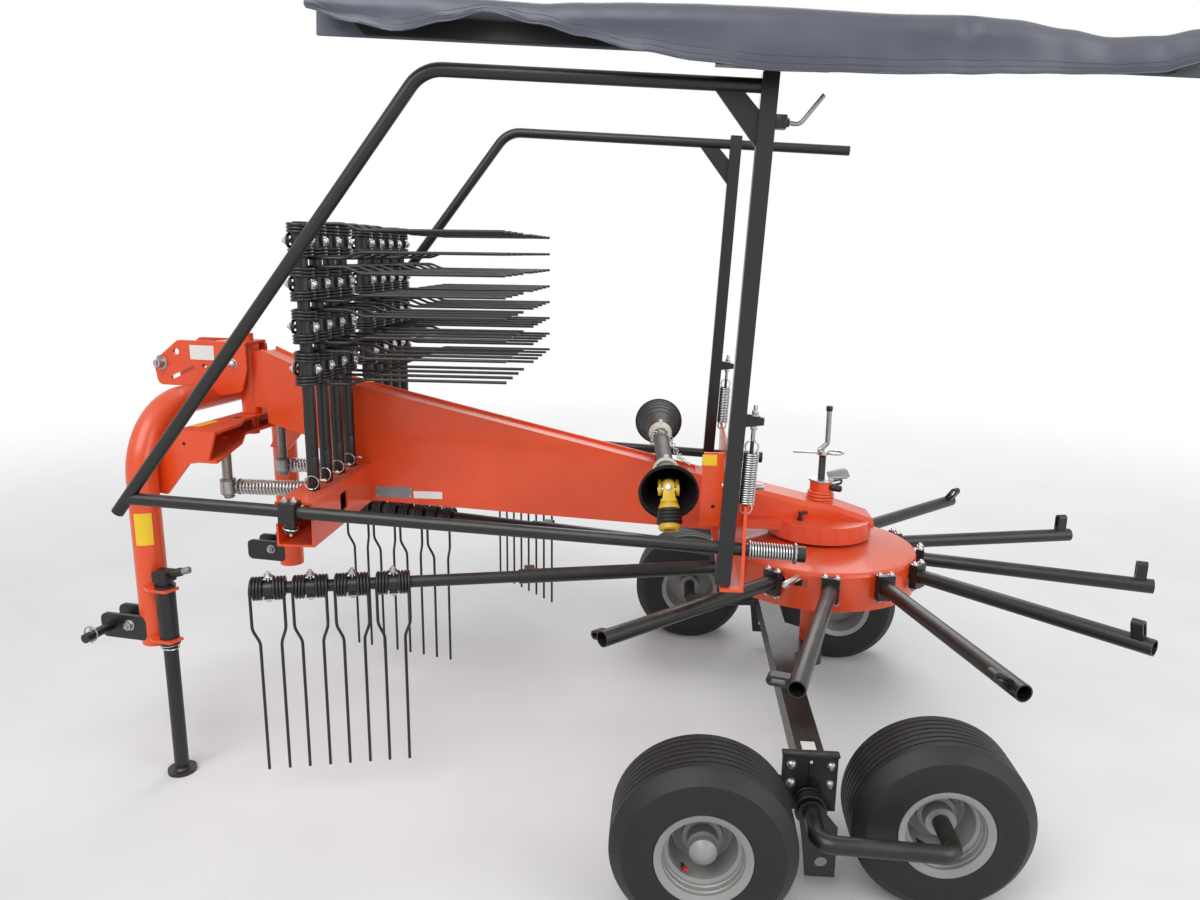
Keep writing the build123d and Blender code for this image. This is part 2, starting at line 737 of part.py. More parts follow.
with BuildPart() as stand_holder:
    for flange_z in (HOLDER_LOW_Z, HOLDER_HIGH_Z):
        with BuildSketch(head_plane(Plane.XY.offset(flange_z))):
            with BuildLine():
                Polyline(
                    (ARCH_X - 20, -ARCH_HALF_WIDTH - 30),
                    (ARCH_X + 46, -ARCH_HALF_WIDTH - 5),
                    (STAND_X + 40, STAND_Y + 10),
                    (STAND_X + 28, STAND_Y - 34),
                    (STAND_X - 34, STAND_Y - 34),
                    close=True,
                )
            make_face()
        extrude(amount=HOLDER_PLATE)
    with BuildSketch(head_plane(Plane.XY.offset(HOLDER_LOW_Z))):
        with Locations((STAND_X, STAND_Y)):
            Circle(STAND_SLEEVE_R)
    extrude(amount=HOLDER_HIGH_Z + HOLDER_PLATE - HOLDER_LOW_Z)
    with BuildSketch(head_plane(Plane.XY.offset(HOLDER_LOW_Z))):
        with Locations((STAND_X, STAND_Y)):
            Circle(STAND_R + SEAT_GAP)
        with Locations((ARCH_X, -ARCH_HALF_WIDTH)):
            Circle(ARCH_TUBE_R)
    extrude(amount=HOLDER_HIGH_Z + HOLDER_PLATE - HOLDER_LOW_Z, mode=Mode.SUBTRACT)
save(stand_holder, "stand_holder")

with BuildPart() as parking_stand:
    with BuildSketch(head_plane(Plane.XY)):
        with Locations((STAND_X, STAND_Y)):
            Circle(STAND_FOOT_R)
    extrude(amount=STAND_FOOT)
    with BuildSketch(head_plane(Plane.XY)):
        with Locations((STAND_X, STAND_Y)):
            Circle(STAND_R)
    extrude(amount=STAND_TOP_Z)
save(parking_stand, "parking_stand")

for side_name, side in SIDES:
    pin_at = head_point(0, side * STRUT_PIN_Y, STRUT_Z)
    with BuildPart() as strut:
        with BuildSketch(Plane(origin=pin_at - Vector(0, 0, STRUT_EYE_R * 0.8))):
            Circle(STRUT_EYE_R)
            Circle(STRUT_PIN_R + 0.08, mode=Mode.SUBTRACT)
        extrude(amount=STRUT_EYE_R * 1.6)
        rod_plane = Plane(origin=pin_at + Vector(STRUT_EYE_R - 2, 0, 0), x_dir=(0, 1, 0), z_dir=(1, 0, 0))
        with BuildSketch(rod_plane):
            Circle(STRUT_ROD_R)
        extrude(amount=ROTOR_X + STRUT_END_X - pin_at.X - STRUT_EYE_R)
    save(strut, f"steering_strut_{side_name}")

    with BuildPart() as strut_spring:
        with BuildSketch(rod_plane.offset(STRUT_EYE_R - 8)):
            Circle(STRUT_SPRING_R)
            Circle(STRUT_ROD_R + SEAT_GAP, mode=Mode.SUBTRACT)
        spring_start = pin_at.X + 2 * STRUT_EYE_R - 10
        extrude(amount=ROTOR_X + RACK_FRONT_X - 10 - spring_start)
    save(strut_spring, f"strut_spring_{side_name}")


# Racks and rear cross member

def rack_arm_points(side_name, side):
    """Plan points of the racked arms on one side."""
    return [(RACK_ARM_X, side * RACK_PITCH * (n + 1)) for n in range(RACKED_ARMS[side_name])]


for side_name, side in SIDES:
    with BuildPart() as rack:
        with BuildSketch(side_plane(side * BEAM_HALF_WIDTH)):
            with BuildLine():
                Polyline(
                    (RACK_FRONT_X, RACK_LOW_Z),
                    (RACK_REAR_X, RACK_LOW_Z),
                    (RACK_REAR_X, RACK_TOP_Z),
                    (RACK_FRONT_X, RACK_TOP_Z),
                    (RACK_FRONT_X, RACK_TOP_Z - RACK_PLATE),
                    (RACK_REAR_X - RACK_PLATE, RACK_TOP_Z - RACK_PLATE),
                    (RACK_REAR_X - RACK_PLATE, RACK_LOW_Z + RACK_PLATE),
                    (RACK_FRONT_X + RACK_PLATE, RACK_LOW_Z + RACK_PLATE),
                    (RACK_FRONT_X + RACK_PLATE, RACK_LIP_Z),
                    (RACK_FRONT_X, RACK_LIP_Z),
                    close=True,
                )
            make_face()
        extrude(amount=-side * (RACK_REACH - BEAM_HALF_WIDTH))
        with BuildSketch(level_plane(RACK_TOP_Z - 20)):
            with Locations(*rack_arm_points(side_name, side)):
                Circle(TINE_ARM_R + SEAT_GAP)
        extrude(amount=40, mode=Mode.SUBTRACT)
        guide_y = head_point(0, side * STRUT_PIN_Y, 0).Y - ROTOR_Y
        with BuildSketch(cross_plane(RACK_FRONT_X)):
            with Locations((guide_y, (RACK_LOW_Z + RACK_TOP_Z) / 2)):
                Rectangle(STRUT_GUIDE_WIDTH + 2 * SEAT_GAP, RACK_TOP_Z - RACK_LOW_Z - 2 * RACK_PLATE)
        extrude(amount=RACK_PLATE, mode=Mode.SUBTRACT)
        with BuildSketch(cross_plane(RACK_REAR_X)):
            with Locations((side * RACK_WINDOW_Y, RACK_WINDOW_Z)):
                RectangleRounded(*RACK_WINDOW, 6)
        extrude(amount=-RACK_PLATE, mode=Mode.SUBTRACT)
    save(rack, f"rack_{side_name}")

with BuildPart() as strut_guides:
    cheek = (STRUT_GUIDE_WIDTH - STRUT_GUIDE_GAP) / 2
    middle = (STRUT_GUIDE_WIDTH + STRUT_GUIDE_GAP) / 4
    for side_name, side in SIDES:
        guide_y = head_point(0, side * STRUT_PIN_Y, 0).Y - ROTOR_Y
        with BuildSketch(cross_plane(RACK_FRONT_X)):
            with Locations(*[(guide_y + end * middle, (RACK_LOW_Z + RACK_TOP_Z) / 2) for end in (-1, 1)]):
                Rectangle(cheek, RACK_TOP_Z - RACK_LOW_Z - 2 * RACK_PLATE - 2 * SEAT_GAP)
        extrude(amount=RACK_PLATE)
save(strut_guides, "strut_guides")

with BuildPart() as hinge_clamps:
    for side_name, side in SIDES:
        hinge = guard_plane(side)
        clamp_u = (RACK_ARM_X - GUARD_POST_X) / cos(radians(GUARD_TILT_DEG))
        clamp_plane = Plane(origin=hinge.from_local_coords((clamp_u, 0, 0)), x_dir=(0, 1, 0), z_dir=hinge.x_dir)
        with BuildSketch(clamp_plane.offset(-22)):
            Rectangle(2 * (GUARD_Y - RACK_REACH) - 2 * SEAT_GAP, 56)
            Circle(GUARD_TUBE_R + SEAT_GAP, mode=Mode.SUBTRACT)
        extrude(amount=44)
save(hinge_clamps, "hinge_clamps")

with BuildPart() as rear_cross_member:
    with BuildSketch(side_plane(0)):
        with BuildLine():
            Polyline(
                (CROSS_FOOT_X, CROSS_LOW_Z),
                (CROSS_REAR_X, CROSS_LOW_Z),
                (CROSS_REAR_X, CROSS_HIGH_Z),
                (CROSS_FRONT_X, CROSS_HIGH_Z),
                (CROSS_FRONT_X, CROSS_LOW_Z + CROSS_PLATE),
                (CROSS_FOOT_X, CROSS_LOW_Z + CROSS_PLATE),
                close=True,
            )
        make_face()
    extrude(amount=GUARD_Y + CROSS_REACH, both=True)
    with BuildSketch(side_plane(SHIELD_Y)):
        with BuildLine():
            Polyline(*SHIELD_OUTLINE, close=True)
        make_face()
    extrude(amount=-CROSS_PLATE)
    with BuildSketch(side_plane(0)):
        with BuildLine():
            Polyline(*BEAM_PROFILE, close=True)
        make_face()
    extrude(amount=BEAM_HALF_WIDTH, both=True, mode=Mode.SUBTRACT)
    for side_name, side in SIDES:
        hinge = guard_plane(side)
        bore = Plane(origin=hinge.from_local_coords((-200, 0, 0)), x_dir=(0, 1, 0), z_dir=hinge.x_dir)
        with BuildSketch(bore):
            Circle(GUARD_TUBE_R + 0.08)
        extrude(amount=400, mode=Mode.SUBTRACT)
save(rear_cross_member, "rear_cross_member")


# Guards

for side_name, side in SIDES:
    plane = guard_plane(side)
    with BuildPart() as guard:
        with BuildLine():
            tail = 0.0 if side_name == "left" else GUARD_TAIL
            loop = FilletPolyline(
                plane.from_local_coords((*GUARD_LOW_END, 0)),
                plane.from_local_coords((*GUARD_CORNER, 0)),
                plane.from_local_coords((tail, GUARD_CORNER[1], 0)),
                radius=GUARD_BEND_R,
            )
        with BuildSketch(Plane(origin=loop @ 0, z_dir=loop % 0)):
            Circle(GUARD_TUBE_R)
        sweep()
        hinge_start = Plane(origin=plane.from_local_coords((GUARD_HINGE_FRONT, 0, 0)), x_dir=(0, 1, 0), z_dir=plane.x_dir)
        with BuildSketch(hinge_start):
            Circle(GUARD_TUBE_R)
        extrude(amount=GUARD_HINGE_REAR - GUARD_HINGE_FRONT)
        with BuildSketch(hinge_start.offset(GUARD_HINGE_REAR - GUARD_HINGE_FRONT)):
            Circle(GUARD_TUBE_CAP[0])
        extrude(amount=-GUARD_TUBE_CAP[1])
        with BuildSketch(plane):
            with BuildLine():
                Polyline(
                    (-GUARD_POST[0] / 2, GUARD_POST_LOW),
                    (GUARD_POST[0] / 2, GUARD_POST_LOW),
                    (GUARD_POST[0] / 2, GUARD_POST_HIGH),
                    (-GUARD_POST[0] / 2, GUARD_POST_HIGH),
                    close=True,
                )
            make_face()
        extrude(amount=GUARD_POST[1] / 2, both=True)
        with BuildSketch(plane):
            with BuildLine():
                Polyline(
                    (-128, GUARD_CORNER[1] - 12),
                    (-60, GUARD_CORNER[1] - 12),
                    (-18, GUARD_CORNER[1] - 55),
                    (-18, GUARD_CORNER[1] - 140),
                    close=True,
                )
            make_face()
        extrude(amount=5, both=True)
        with BuildSketch(plane):
            with BuildLine():
                Polyline(
                    (GUARD_POST[0] / 2 - 2, LOCK_LUG_Z - 22),
                    (GUARD_POST[0] / 2 - 2, LOCK_LUG_Z + 12),
                    (LOCK_SPRING_U + 24, LOCK_LUG_Z + 4),
                    (LOCK_SPRING_U + 24, LOCK_LUG_Z - 14),
                    close=True,
                )
            make_face()
        extrude(amount=6, both=True)
        spring_foot = Plane(
            origin=plane.from_local_coords((LOCK_SPRING_U, LOCK_SPRING_LOW, 0)),
            x_dir=plane.x_dir,
            z_dir=plane.y_dir,
        )
        with BuildSketch(spring_foot):
            Circle(LOCK_SPRING_R)
        extrude(amount=LOCK_SPRING_HIGH - LOCK_SPRING_LOW)
        with BuildSketch(spring_foot):
            RegularPolygon(LOCK_ROD_R, 8)
        extrude(amount=LOCK_LUG_Z - LOCK_SPRING_LOW - 4)
        if side_name == "left":
            inside = GUARD_POST[0] - 2 * GUARD_POST_WALL
            top = Plane(
                origin=plane.from_local_coords((0, GUARD_POST_HIGH, 0)),
                x_dir=plane.x_dir,
                z_dir=plane.y_dir,
            )
            with BuildSketch(top):
                Rectangle(inside, inside)
            extrude(amount=-(GUARD_POST_HIGH - 60), mode=Mode.SUBTRACT)
    save(guard, f"guard_{side_name}")

curtain_plane = guard_plane(-1)
with BuildPart() as curtain_arm:
    arm_side = GUARD_POST[0] - 2 * GUARD_POST_WALL - 2 * SEAT_GAP
    with BuildSketch(Plane(origin=curtain_plane.from_local_coords((0, 640, 0)), x_dir=curtain_plane.x_dir, z_dir=curtain_plane.y_dir)):
        Rectangle(arm_side, arm_side)
    extrude(amount=CURTAIN_BAR_LOW - 640 - 22)
    with BuildSketch(curtain_plane):
        with Locations((0, CURTAIN_BAR_LOW - 13)):
            Rectangle(262, 26)
    extrude(amount=CURTAIN_BAR_Y, both=False)
save(curtain_arm, "curtain_arm")

with BuildPart() as curtain_bar:
    with BuildSketch(curtain_plane.offset(CURTAIN_BAR_Y)):
        with BuildLine():
            Polyline(
                (CURTAIN_BAR_FRONT, CURTAIN_BAR_LOW + 24),
                (CURTAIN_BAR_FRONT + 24, CURTAIN_BAR_LOW),
                (CURTAIN_BAR_REAR - 24, CURTAIN_BAR_LOW),
                (CURTAIN_BAR_REAR, CURTAIN_BAR_LOW + 24),
                (CURTAIN_BAR_REAR, CURTAIN_BAR_HIGH),
                (CURTAIN_BAR_FRONT, CURTAIN_BAR_HIGH),
                close=True,
            )
        make_face()
    extrude(amount=CURTAIN_BAR)
save(curtain_bar, "curtain_bar")

with BuildPart() as curtain:
    section = Plane(
        origin=curtain_plane.from_local_coords((CURTAIN_BAR_FRONT - CURTAIN_OVERHANG, 0, 0)),
        x_dir=(0, -1, 0),
        z_dir=curtain_plane.x_dir,
    )
    bar_face = CURTAIN_BAR_Y - SEAT_GAP - CURTAIN_SKIN / 2
    with BuildSketch(section):
        with BuildLine():
            leg = Line((bar_face, -CURTAIN_BAR_LOW - 6), (bar_face, -CURTAIN_BAR_HIGH))
            crown = TangentArc(leg @ 1, (CURTAIN_HEM_Y, -CURTAIN_BAR_HIGH), tangent=leg % 1)
            Line(crown @ 1, (CURTAIN_HEM_Y, -CURTAIN_HEM_Z))
        trace(line_width=CURTAIN_SKIN)
    extrude(amount=CURTAIN_BAR_REAR - CURTAIN_BAR_FRONT + 2 * CURTAIN_OVERHANG)
save(curtain, "curtain")


# Gearbox cover, spindle, height crank and drive shaft

SPINE_OUTLINE = ((CROSS_REAR_X, SPINE_FRONT_Z), *SPINE_PROFILE, (CROSS_REAR_X, SPINE_PROFILE[-1][1]))

with BuildPart() as gearbox:
    with BuildSketch(level_plane(COVER_LOW_Z)):
        Circle(COVER_R)
    extrude(amount=COVER_HIGH_Z - COVER_LOW_Z)
    with BuildSketch(level_plane(NECK_LOW_Z)):
        with Locations((CROSS_REAR_X / 2, 0)):
            Rectangle(-CROSS_REAR_X, 2 * COVER_NECK_HALF_WIDTH)
    extrude(amount=COVER_HIGH_Z - NECK_LOW_Z)
    with BuildSketch(side_plane(0)):
        with BuildLine():
            Polyline(*SPINE_OUTLINE, close=True)
        make_face()
    extrude(amount=SPINE_HALF_WIDTH - SPINE_CHAMFER, both=True)
    for spine_side in (-1, 1):
        with BuildSketch(side_plane(spine_side * (SPINE_HALF_WIDTH - SPINE_CHAMFER))):
            with BuildLine():
                Polyline(*SPINE_OUTLINE, close=True)
            make_face()
        with BuildSketch(side_plane(spine_side * SPINE_HALF_WIDTH)):
            with BuildLine():
                Polyline(
                    (CROSS_REAR_X, SPINE_FRONT_Z - SPINE_CHAMFER),
                    *[(x, z - SPINE_CHAMFER) for x, z in SPINE_PROFILE[:-1]],
                    SPINE_PROFILE[-1],
                    (CROSS_REAR_X, SPINE_PROFILE[-1][1]),
                    close=True,
                )
            make_face()
        loft(ruled=True)
    for ring_r, ring_z in ((BOSS_RING_R, SPINE_PROFILE[1][1] + 12), (BOSS_R, BOSS_HIGH_Z)):
        with BuildSketch(level_plane(COVER_HIGH_Z)):
            Circle(ring_r)
        extrude(amount=ring_z - COVER_HIGH_Z)
    with BuildSketch(level_plane(AXLE_Z + AXLE_BOX / 2)):
        Circle(SPINDLE_R)
    extrude(amount=COVER_LOW_Z - AXLE_Z - AXLE_BOX / 2)
save(gearbox, "gearbox")

with BuildPart() as height_crank:
    with BuildSketch(level_plane(BOSS_HIGH_Z)):
        Circle(CRANK_STEM_R)
    extrude(amount=CRANK_ARM_Z - BOSS_HIGH_Z)
    with BuildSketch(level_plane(CRANK_ARM_Z)):
        with Locations((CRANK_ARM_X, 0)):
            SlotOverall(CRANK_ARM[0], CRANK_ARM[1])
    extrude(amount=CRANK_ARM[2])
    with BuildSketch(level_plane(CRANK_ARM_Z)):
        with Locations((CRANK_HANDLE_X, 0)):
            Circle(CRANK_HANDLE_R)
    extrude(amount=CRANK_GRIP_LOW_Z - CRANK_ARM_Z)
    with BuildSketch(level_plane(CRANK_GRIP_LOW_Z)):
        with Locations((CRANK_HANDLE_X, 0)):
            Circle(CRANK_GRIP_R)
    extrude(amount=CRANK_TOP_Z - CRANK_GRIP_LOW_Z)
save(height_crank, "height_crank")

shaft_near = at(*SHAFT_NEAR)
shaft_far = at(*SHAFT_FAR)
shaft_along = (shaft_far - shaft_near).normalized()
shaft_plane = Plane(origin=shaft_near, x_dir=(0, 0, 1), z_dir=shaft_along)
shaft_length = (shaft_far - shaft_near).length

with BuildPart() as drive_shaft:
    with BuildSketch(shaft_plane.offset(SHAFT_END_GAP)):
        Circle(SHAFT_R)
    extrude(amount=shaft_length - 2 * SHAFT_END_GAP)
save(drive_shaft, "drive_shaft")

with BuildPart() as shaft_guards:
    for neck_at, toward, droop in ((SHAFT_BELL_LENGTH, -1, SHAFT_BELL_DROOP), (shaft_length - SHAFT_BELL_LENGTH, 1, 0.0)):
        neck = shaft_plane.offset(neck_at)
        mouth = Plane(neck.location * Location((0, 0, toward * SHAFT_BELL_LENGTH), (0, -toward * droop, 0)))
        mouth = mouth.move(Location(Vector(0, 0, -droop)))
        with BuildSketch(mouth):
            Circle(SHAFT_BELL_R)
        with BuildSketch(neck):
            Circle(SHAFT_BELL_NECK_R)
        loft()
        with BuildSketch(mouth):
            Circle(SHAFT_BELL_R - SHAFT_BELL_WALL)
        with BuildSketch(neck):
            Circle(SHAFT_BELL_NECK_R - SHAFT_BELL_WALL)
        loft(mode=Mode.SUBTRACT)
        with BuildSketch(neck):
            Circle(SHAFT_BELL_NECK_R)
            Circle(SHAFT_R + SEAT_GAP, mode=Mode.SUBTRACT)
        extrude(amount=-toward * 24)
save(shaft_guards, "shaft_guards")

yoke_joint = shaft_near
yoke_tip = at(*YOKE_TIP)
yoke_plane = Plane(origin=yoke_tip, x_dir=(1, 0, 0), z_dir=(yoke_joint - yoke_tip).normalized())
with BuildPart() as shaft_yoke:
    with BuildSketch(yoke_plane):
        Circle(YOKE_RING_R)
    extrude(amount=YOKE_RING)
    with BuildSketch(yoke_plane.offset(YOKE_RING)):
        Circle(YOKE_BOOT_R)
    extrude(amount=48)
    with BuildSketch(yoke_plane):
        Circle(YOKE_R)
    extrude(amount=(yoke_joint - yoke_tip).length)
    with BuildSketch(shaft_plane):
        Circle(YOKE_R)
    extrude(amount=SHAFT_END_GAP)
    with BuildSketch(yoke_plane):
        Circle(YOKE_BORE_R)
    extrude(amount=60, mode=Mode.SUBTRACT)
save(shaft_yoke, "shaft_yoke")


# Undercarriage

with BuildPart() as axle_beam:
    with BuildSketch(side_plane(0)):
        with Locations((AXLE_X, AXLE_Z)):
            Rectangle(AXLE_BOX, AXLE_BOX)
    extrude(amount=AXLE_HALF_LENGTH, both=True)
    with BuildSketch(level_plane(AXLE_Z - AXLE_BOX / 2)):
        with BuildLine():
            Polyline((AXLE_X, -150), (AXLE_X, 150), (30, 45), (30, -45), close=True)
        make_face()
    extrude(amount=AXLE_BOX)
    for side_name, side in SIDES:
        plate_plane = side_plane(side * AXLE_HALF_LENGTH)
        with BuildSketch(plate_plane):
            with Locations((AXLE_X, (AXLE_Z + 35 + BOGIE_Z - 30) / 2)):
                Rectangle(140, 160)
        extrude(amount=-side * 12)
        bush = Plane(origin=at(AXLE_X, side * (AXLE_HALF_LENGTH + 12), BOGIE_Z), x_dir=(1, 0, 0), z_dir=(0, side, 0))
        with BuildSketch(bush):
            Circle(BOGIE_TUBE_R + 10)
        extrude(amount=50)
        with BuildSketch(side_plane(side * (AXLE_HALF_LENGTH + 54))):
            with BuildLine():
                Polyline(*TIE_PLATE_OUTLINE, close=True)
            make_face()
            with Locations((TIE_PLATE_OUTLINE[3][0] - 36, TIE_PLATE_OUTLINE[3][1] + 40)):
                Circle(TIE_HOLE_R, mode=Mode.SUBTRACT)
        extrude(amount=-side * TIE_PLATE)
        with BuildSketch(bush.offset(-60)):
            Circle(BOGIE_TUBE_R + 0.08)
        extrude(amount=140, mode=Mode.SUBTRACT)
save(axle_beam, "axle_beam")

for side_name, side in SIDES:
    inner_y = AXLE_HALF_LENGTH - 58
    outer_y = REAR_WHEEL_Y + TYRE_WIDTH / 2 + 70
    with BuildPart() as bogie:
        with BuildLine():
            bogie_path = FilletPolyline(
                at(FRONT_WHEEL_X, side * (FRONT_WHEEL_Y + 60), TYRE_R),
                at(FRONT_WHEEL_X, side * inner_y, TYRE_R),
                at(AXLE_X, side * inner_y, BOGIE_Z),
                at(AXLE_X, side * outer_y, BOGIE_Z),
                at(REAR_WHEEL_X, side * outer_y, TYRE_R),
                at(REAR_WHEEL_X, side * (REAR_WHEEL_Y - 60), TYRE_R),
                radius=BOGIE_BEND_R,
            )
        with BuildSketch(Plane(origin=bogie_path @ 0, z_dir=bogie_path % 0)):
            Circle(BOGIE_TUBE_R)
        sweep()
        ring = Plane(origin=at(AXLE_X, side * (AXLE_HALF_LENGTH + 72), BOGIE_Z), z_dir=(0, side, 0))
        with BuildSketch(ring):
            Circle(PIVOT_RING[0])
        extrude(amount=PIVOT_RING[1])
    save(bogie, f"bogie_{side_name}")

WHEELS = (
    # name, x, y, outward, end of the hub that is closed by the cap
    ("front_left", FRONT_WHEEL_X, -FRONT_WHEEL_Y, -1, 1),
    ("front_right", FRONT_WHEEL_X, FRONT_WHEEL_Y, 1, 1),
    ("rear_left", REAR_WHEEL_X, -REAR_WHEEL_Y, -1, -1),
    ("rear_right", REAR_WHEEL_X, REAR_WHEEL_Y, 1, -1),
)
AXLE_BORE_R = BOGIE_TUBE_R + 0.08
HUB_LENGTH = 124.0
CAP_PLATE = 5.0
for wheel_name, wheel_x, wheel_y, outward_sign, cap_end in WHEELS:
    wheel_plane = Plane(
        origin=at(wheel_x, wheel_y, TYRE_R), x_dir=(0, outward_sign, 0), z_dir=(outward_sign, 0, 0)
    )
    wheel_axis = Axis(at(wheel_x, wheel_y, TYRE_R), (0, 1, 0))
    half = TYRE_WIDTH / 2
    with BuildPart() as tyre:
        with BuildSketch(wheel_plane):
            with BuildLine():
                Polyline(
                    (-RIM_WIDTH / 2, RIM_R - 12),
                    (-half + 4, RIM_R + 20),
                    (-half, RIM_R + 55),
                    (-half + 12, TYRE_R - 22),
                    (-half + 38, TYRE_R),
                    (half - 38, TYRE_R),
                    (half - 12, TYRE_R - 22),
                    (half, RIM_R + 55),
                    (half - 4, RIM_R + 20),
                    (RIM_WIDTH / 2, RIM_R - 12),
                    close=True,
                )
            make_face()
        revolve(axis=wheel_axis)
    save(tyre, f"tyre_{wheel_name}")
    with BuildPart() as rim:
        edge = RIM_WIDTH / 2
        disc = edge - RIM_DISC_DEPTH
        with BuildSketch(wheel_plane):
            with BuildLine():
                Polyline(
                    (-edge, RIM_R - 12.3),
                    (-edge - 7, RIM_R),
                    (-edge - 10, RIM_R - 1),
                    (-edge - 3, RIM_R - 18),
                    (disc - 8, RIM_R - 26),
                    (disc - 8, HUB_SHELL_R - 2),
                    (disc, HUB_SHELL_R - 2),
                    (disc, RIM_R - 34),
                    (edge - 42, RIM_R - 32),
                    (edge - 34, RIM_R - 19),
                    (edge + 3, RIM_R - 17),
                    (edge + 10, RIM_R - 1),
                    (edge + 7, RIM_R),
                    (edge, RIM_R - 12.3),
                    close=True,
                )
            make_face()
        revolve(axis=wheel_axis)
        with BuildSketch(wheel_plane):
            with BuildLine():
                cap = cap_end * (HUB_LENGTH - HUB_LENGTH / 2 + 10)
                Polyline(
                    (-cap_end * 50, AXLE_BORE_R),
                    (-cap_end * 50, HUB_SHELL_R),
                    (cap_end * 48, HUB_SHELL_R),
                    (cap_end * 56, HUB_CAP_R),
                    (cap, HUB_CAP_R),
                    (cap, 0),
                    (cap - cap_end * CAP_PLATE, 0),
                    (cap - cap_end * CAP_PLATE, AXLE_BORE_R),
                    close=True,
                )
            make_face()
        revolve(axis=wheel_axis)
    save(rim, f"rim_{wheel_name}")
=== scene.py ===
"""Dresses the parked rotary rake: finishes, tines, tyres, springs, curtain, fasteners and trim."""

import logging
from dataclasses import dataclass
from enum import Enum
from math import cos, pi, radians, sin, sqrt, tan, tau

import bmesh
import bpy
from mathutils import Matrix, Vector


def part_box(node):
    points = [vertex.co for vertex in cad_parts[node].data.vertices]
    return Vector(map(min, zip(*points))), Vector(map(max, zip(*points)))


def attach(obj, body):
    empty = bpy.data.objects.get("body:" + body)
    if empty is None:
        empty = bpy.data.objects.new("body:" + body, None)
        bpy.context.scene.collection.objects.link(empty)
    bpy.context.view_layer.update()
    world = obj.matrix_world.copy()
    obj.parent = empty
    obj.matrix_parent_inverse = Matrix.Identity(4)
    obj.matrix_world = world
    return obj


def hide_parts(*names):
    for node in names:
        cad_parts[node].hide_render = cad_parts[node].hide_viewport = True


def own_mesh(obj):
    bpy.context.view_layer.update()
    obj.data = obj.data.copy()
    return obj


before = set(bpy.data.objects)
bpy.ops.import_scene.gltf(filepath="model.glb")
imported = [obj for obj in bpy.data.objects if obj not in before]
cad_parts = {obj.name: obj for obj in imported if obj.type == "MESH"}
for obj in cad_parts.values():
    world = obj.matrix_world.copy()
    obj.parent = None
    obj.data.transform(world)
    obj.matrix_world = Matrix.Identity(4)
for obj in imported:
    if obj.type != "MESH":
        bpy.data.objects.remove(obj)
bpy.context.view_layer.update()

log = logging.getLogger("rake")

Colour = tuple[int, int, int]
Point = tuple[float, float, float] | Vector
Spot = Point | Matrix
Plan = tuple[float, float]
Outline = tuple[Plan, ...]

# Places that the CAD gives, in metres; X runs back, Y to the right
UP = Vector((0.0, 0.0, 1.0))
ACROSS = Vector((0.0, 1.0, 0.0))
ALONG = Vector((1.0, 0.0, 0.0))
SIDES = (-1, 1)
ROTOR = Vector((0.623, -0.117, 0.0))
STEER_X = -1.855
HEAD_YAW = radians(-8.8)
GUARD_TILT = radians(2.8)
GUARD_Y = 0.573
GUARD_POST_X = -0.333
GUARD_HINGE_Z = 0.855

# Axes that shapes are given in: the model's, the rotor's and the turned headstock's
MODEL = Matrix.Identity(4)
BASE = Matrix.Translation(ROTOR)
HEAD = BASE @ Matrix.Translation((STEER_X, 0.0, 0.0)) @ Matrix.Rotation(HEAD_YAW, 4, "Z")


def at(x: float, y: float, z: float) -> Vector:
    """A point given from the rotor's axis, in the model's frame."""
    return ROTOR + Vector((x, y, z))


def guard_place(side: int) -> Matrix:
    """A folded guard's own axes: X back along its hinge, Y outwards, Z up its post.

    Args:
        side: -1 for the left guard, 1 for the right one.

    Returns:
        The matrix from the guard's axes to the model's frame.
    """
    origin = at(GUARD_POST_X, side * GUARD_Y, GUARD_HINGE_Z)
    tilt = Matrix.Rotation(GUARD_TILT, 4, "Y")
    return Matrix.Translation(origin) @ tilt @ Matrix.Diagonal((1.0, side, 1.0, 1.0))


def facing(direction: Vector, across: Vector | None = None) -> Matrix:
    """A turn that brings Z onto a direction.

    Args:
        direction: where Z is to point.
        across: where X is to point, as nearly as it can.

    Returns:
        The turn as a 4 by 4 matrix.
    """
    z = direction.normalized()
    hint = across if across is not None else (ALONG if abs(z.x) < 0.9 else ACROSS)
    y = z.cross(hint).normalized()
    x = y.cross(z)
    return Matrix((x, y, z)).transposed().to_4x4()


def aim(point: Point, direction: Vector, across: Vector | None = None) -> Matrix:
    """Axes at a point with Z along a direction."""
    return Matrix.Translation(point) @ facing(direction, across)


def linear(colour: Colour) -> tuple[float, float, float, float]:
    """A written colour of 0 to 255 as the shader's linear value."""
    parts = [c / 255.0 for c in colour]
    return (*[p / 12.92 if p <= 0.04045 else ((p + 0.055) / 1.055) ** 2.4 for p in parts], 1.0)


def scene_object(name: str, data: bpy.types.ID) -> bpy.types.Object:
    """An object in the scene.

    Args:
        name: its name.
        data: its mesh, light or camera.

    Returns:
        The object.
    """
    made = bpy.data.objects.new(name, data)
    bpy.context.scene.collection.objects.link(made)
    return made


# Shader groups, each made once


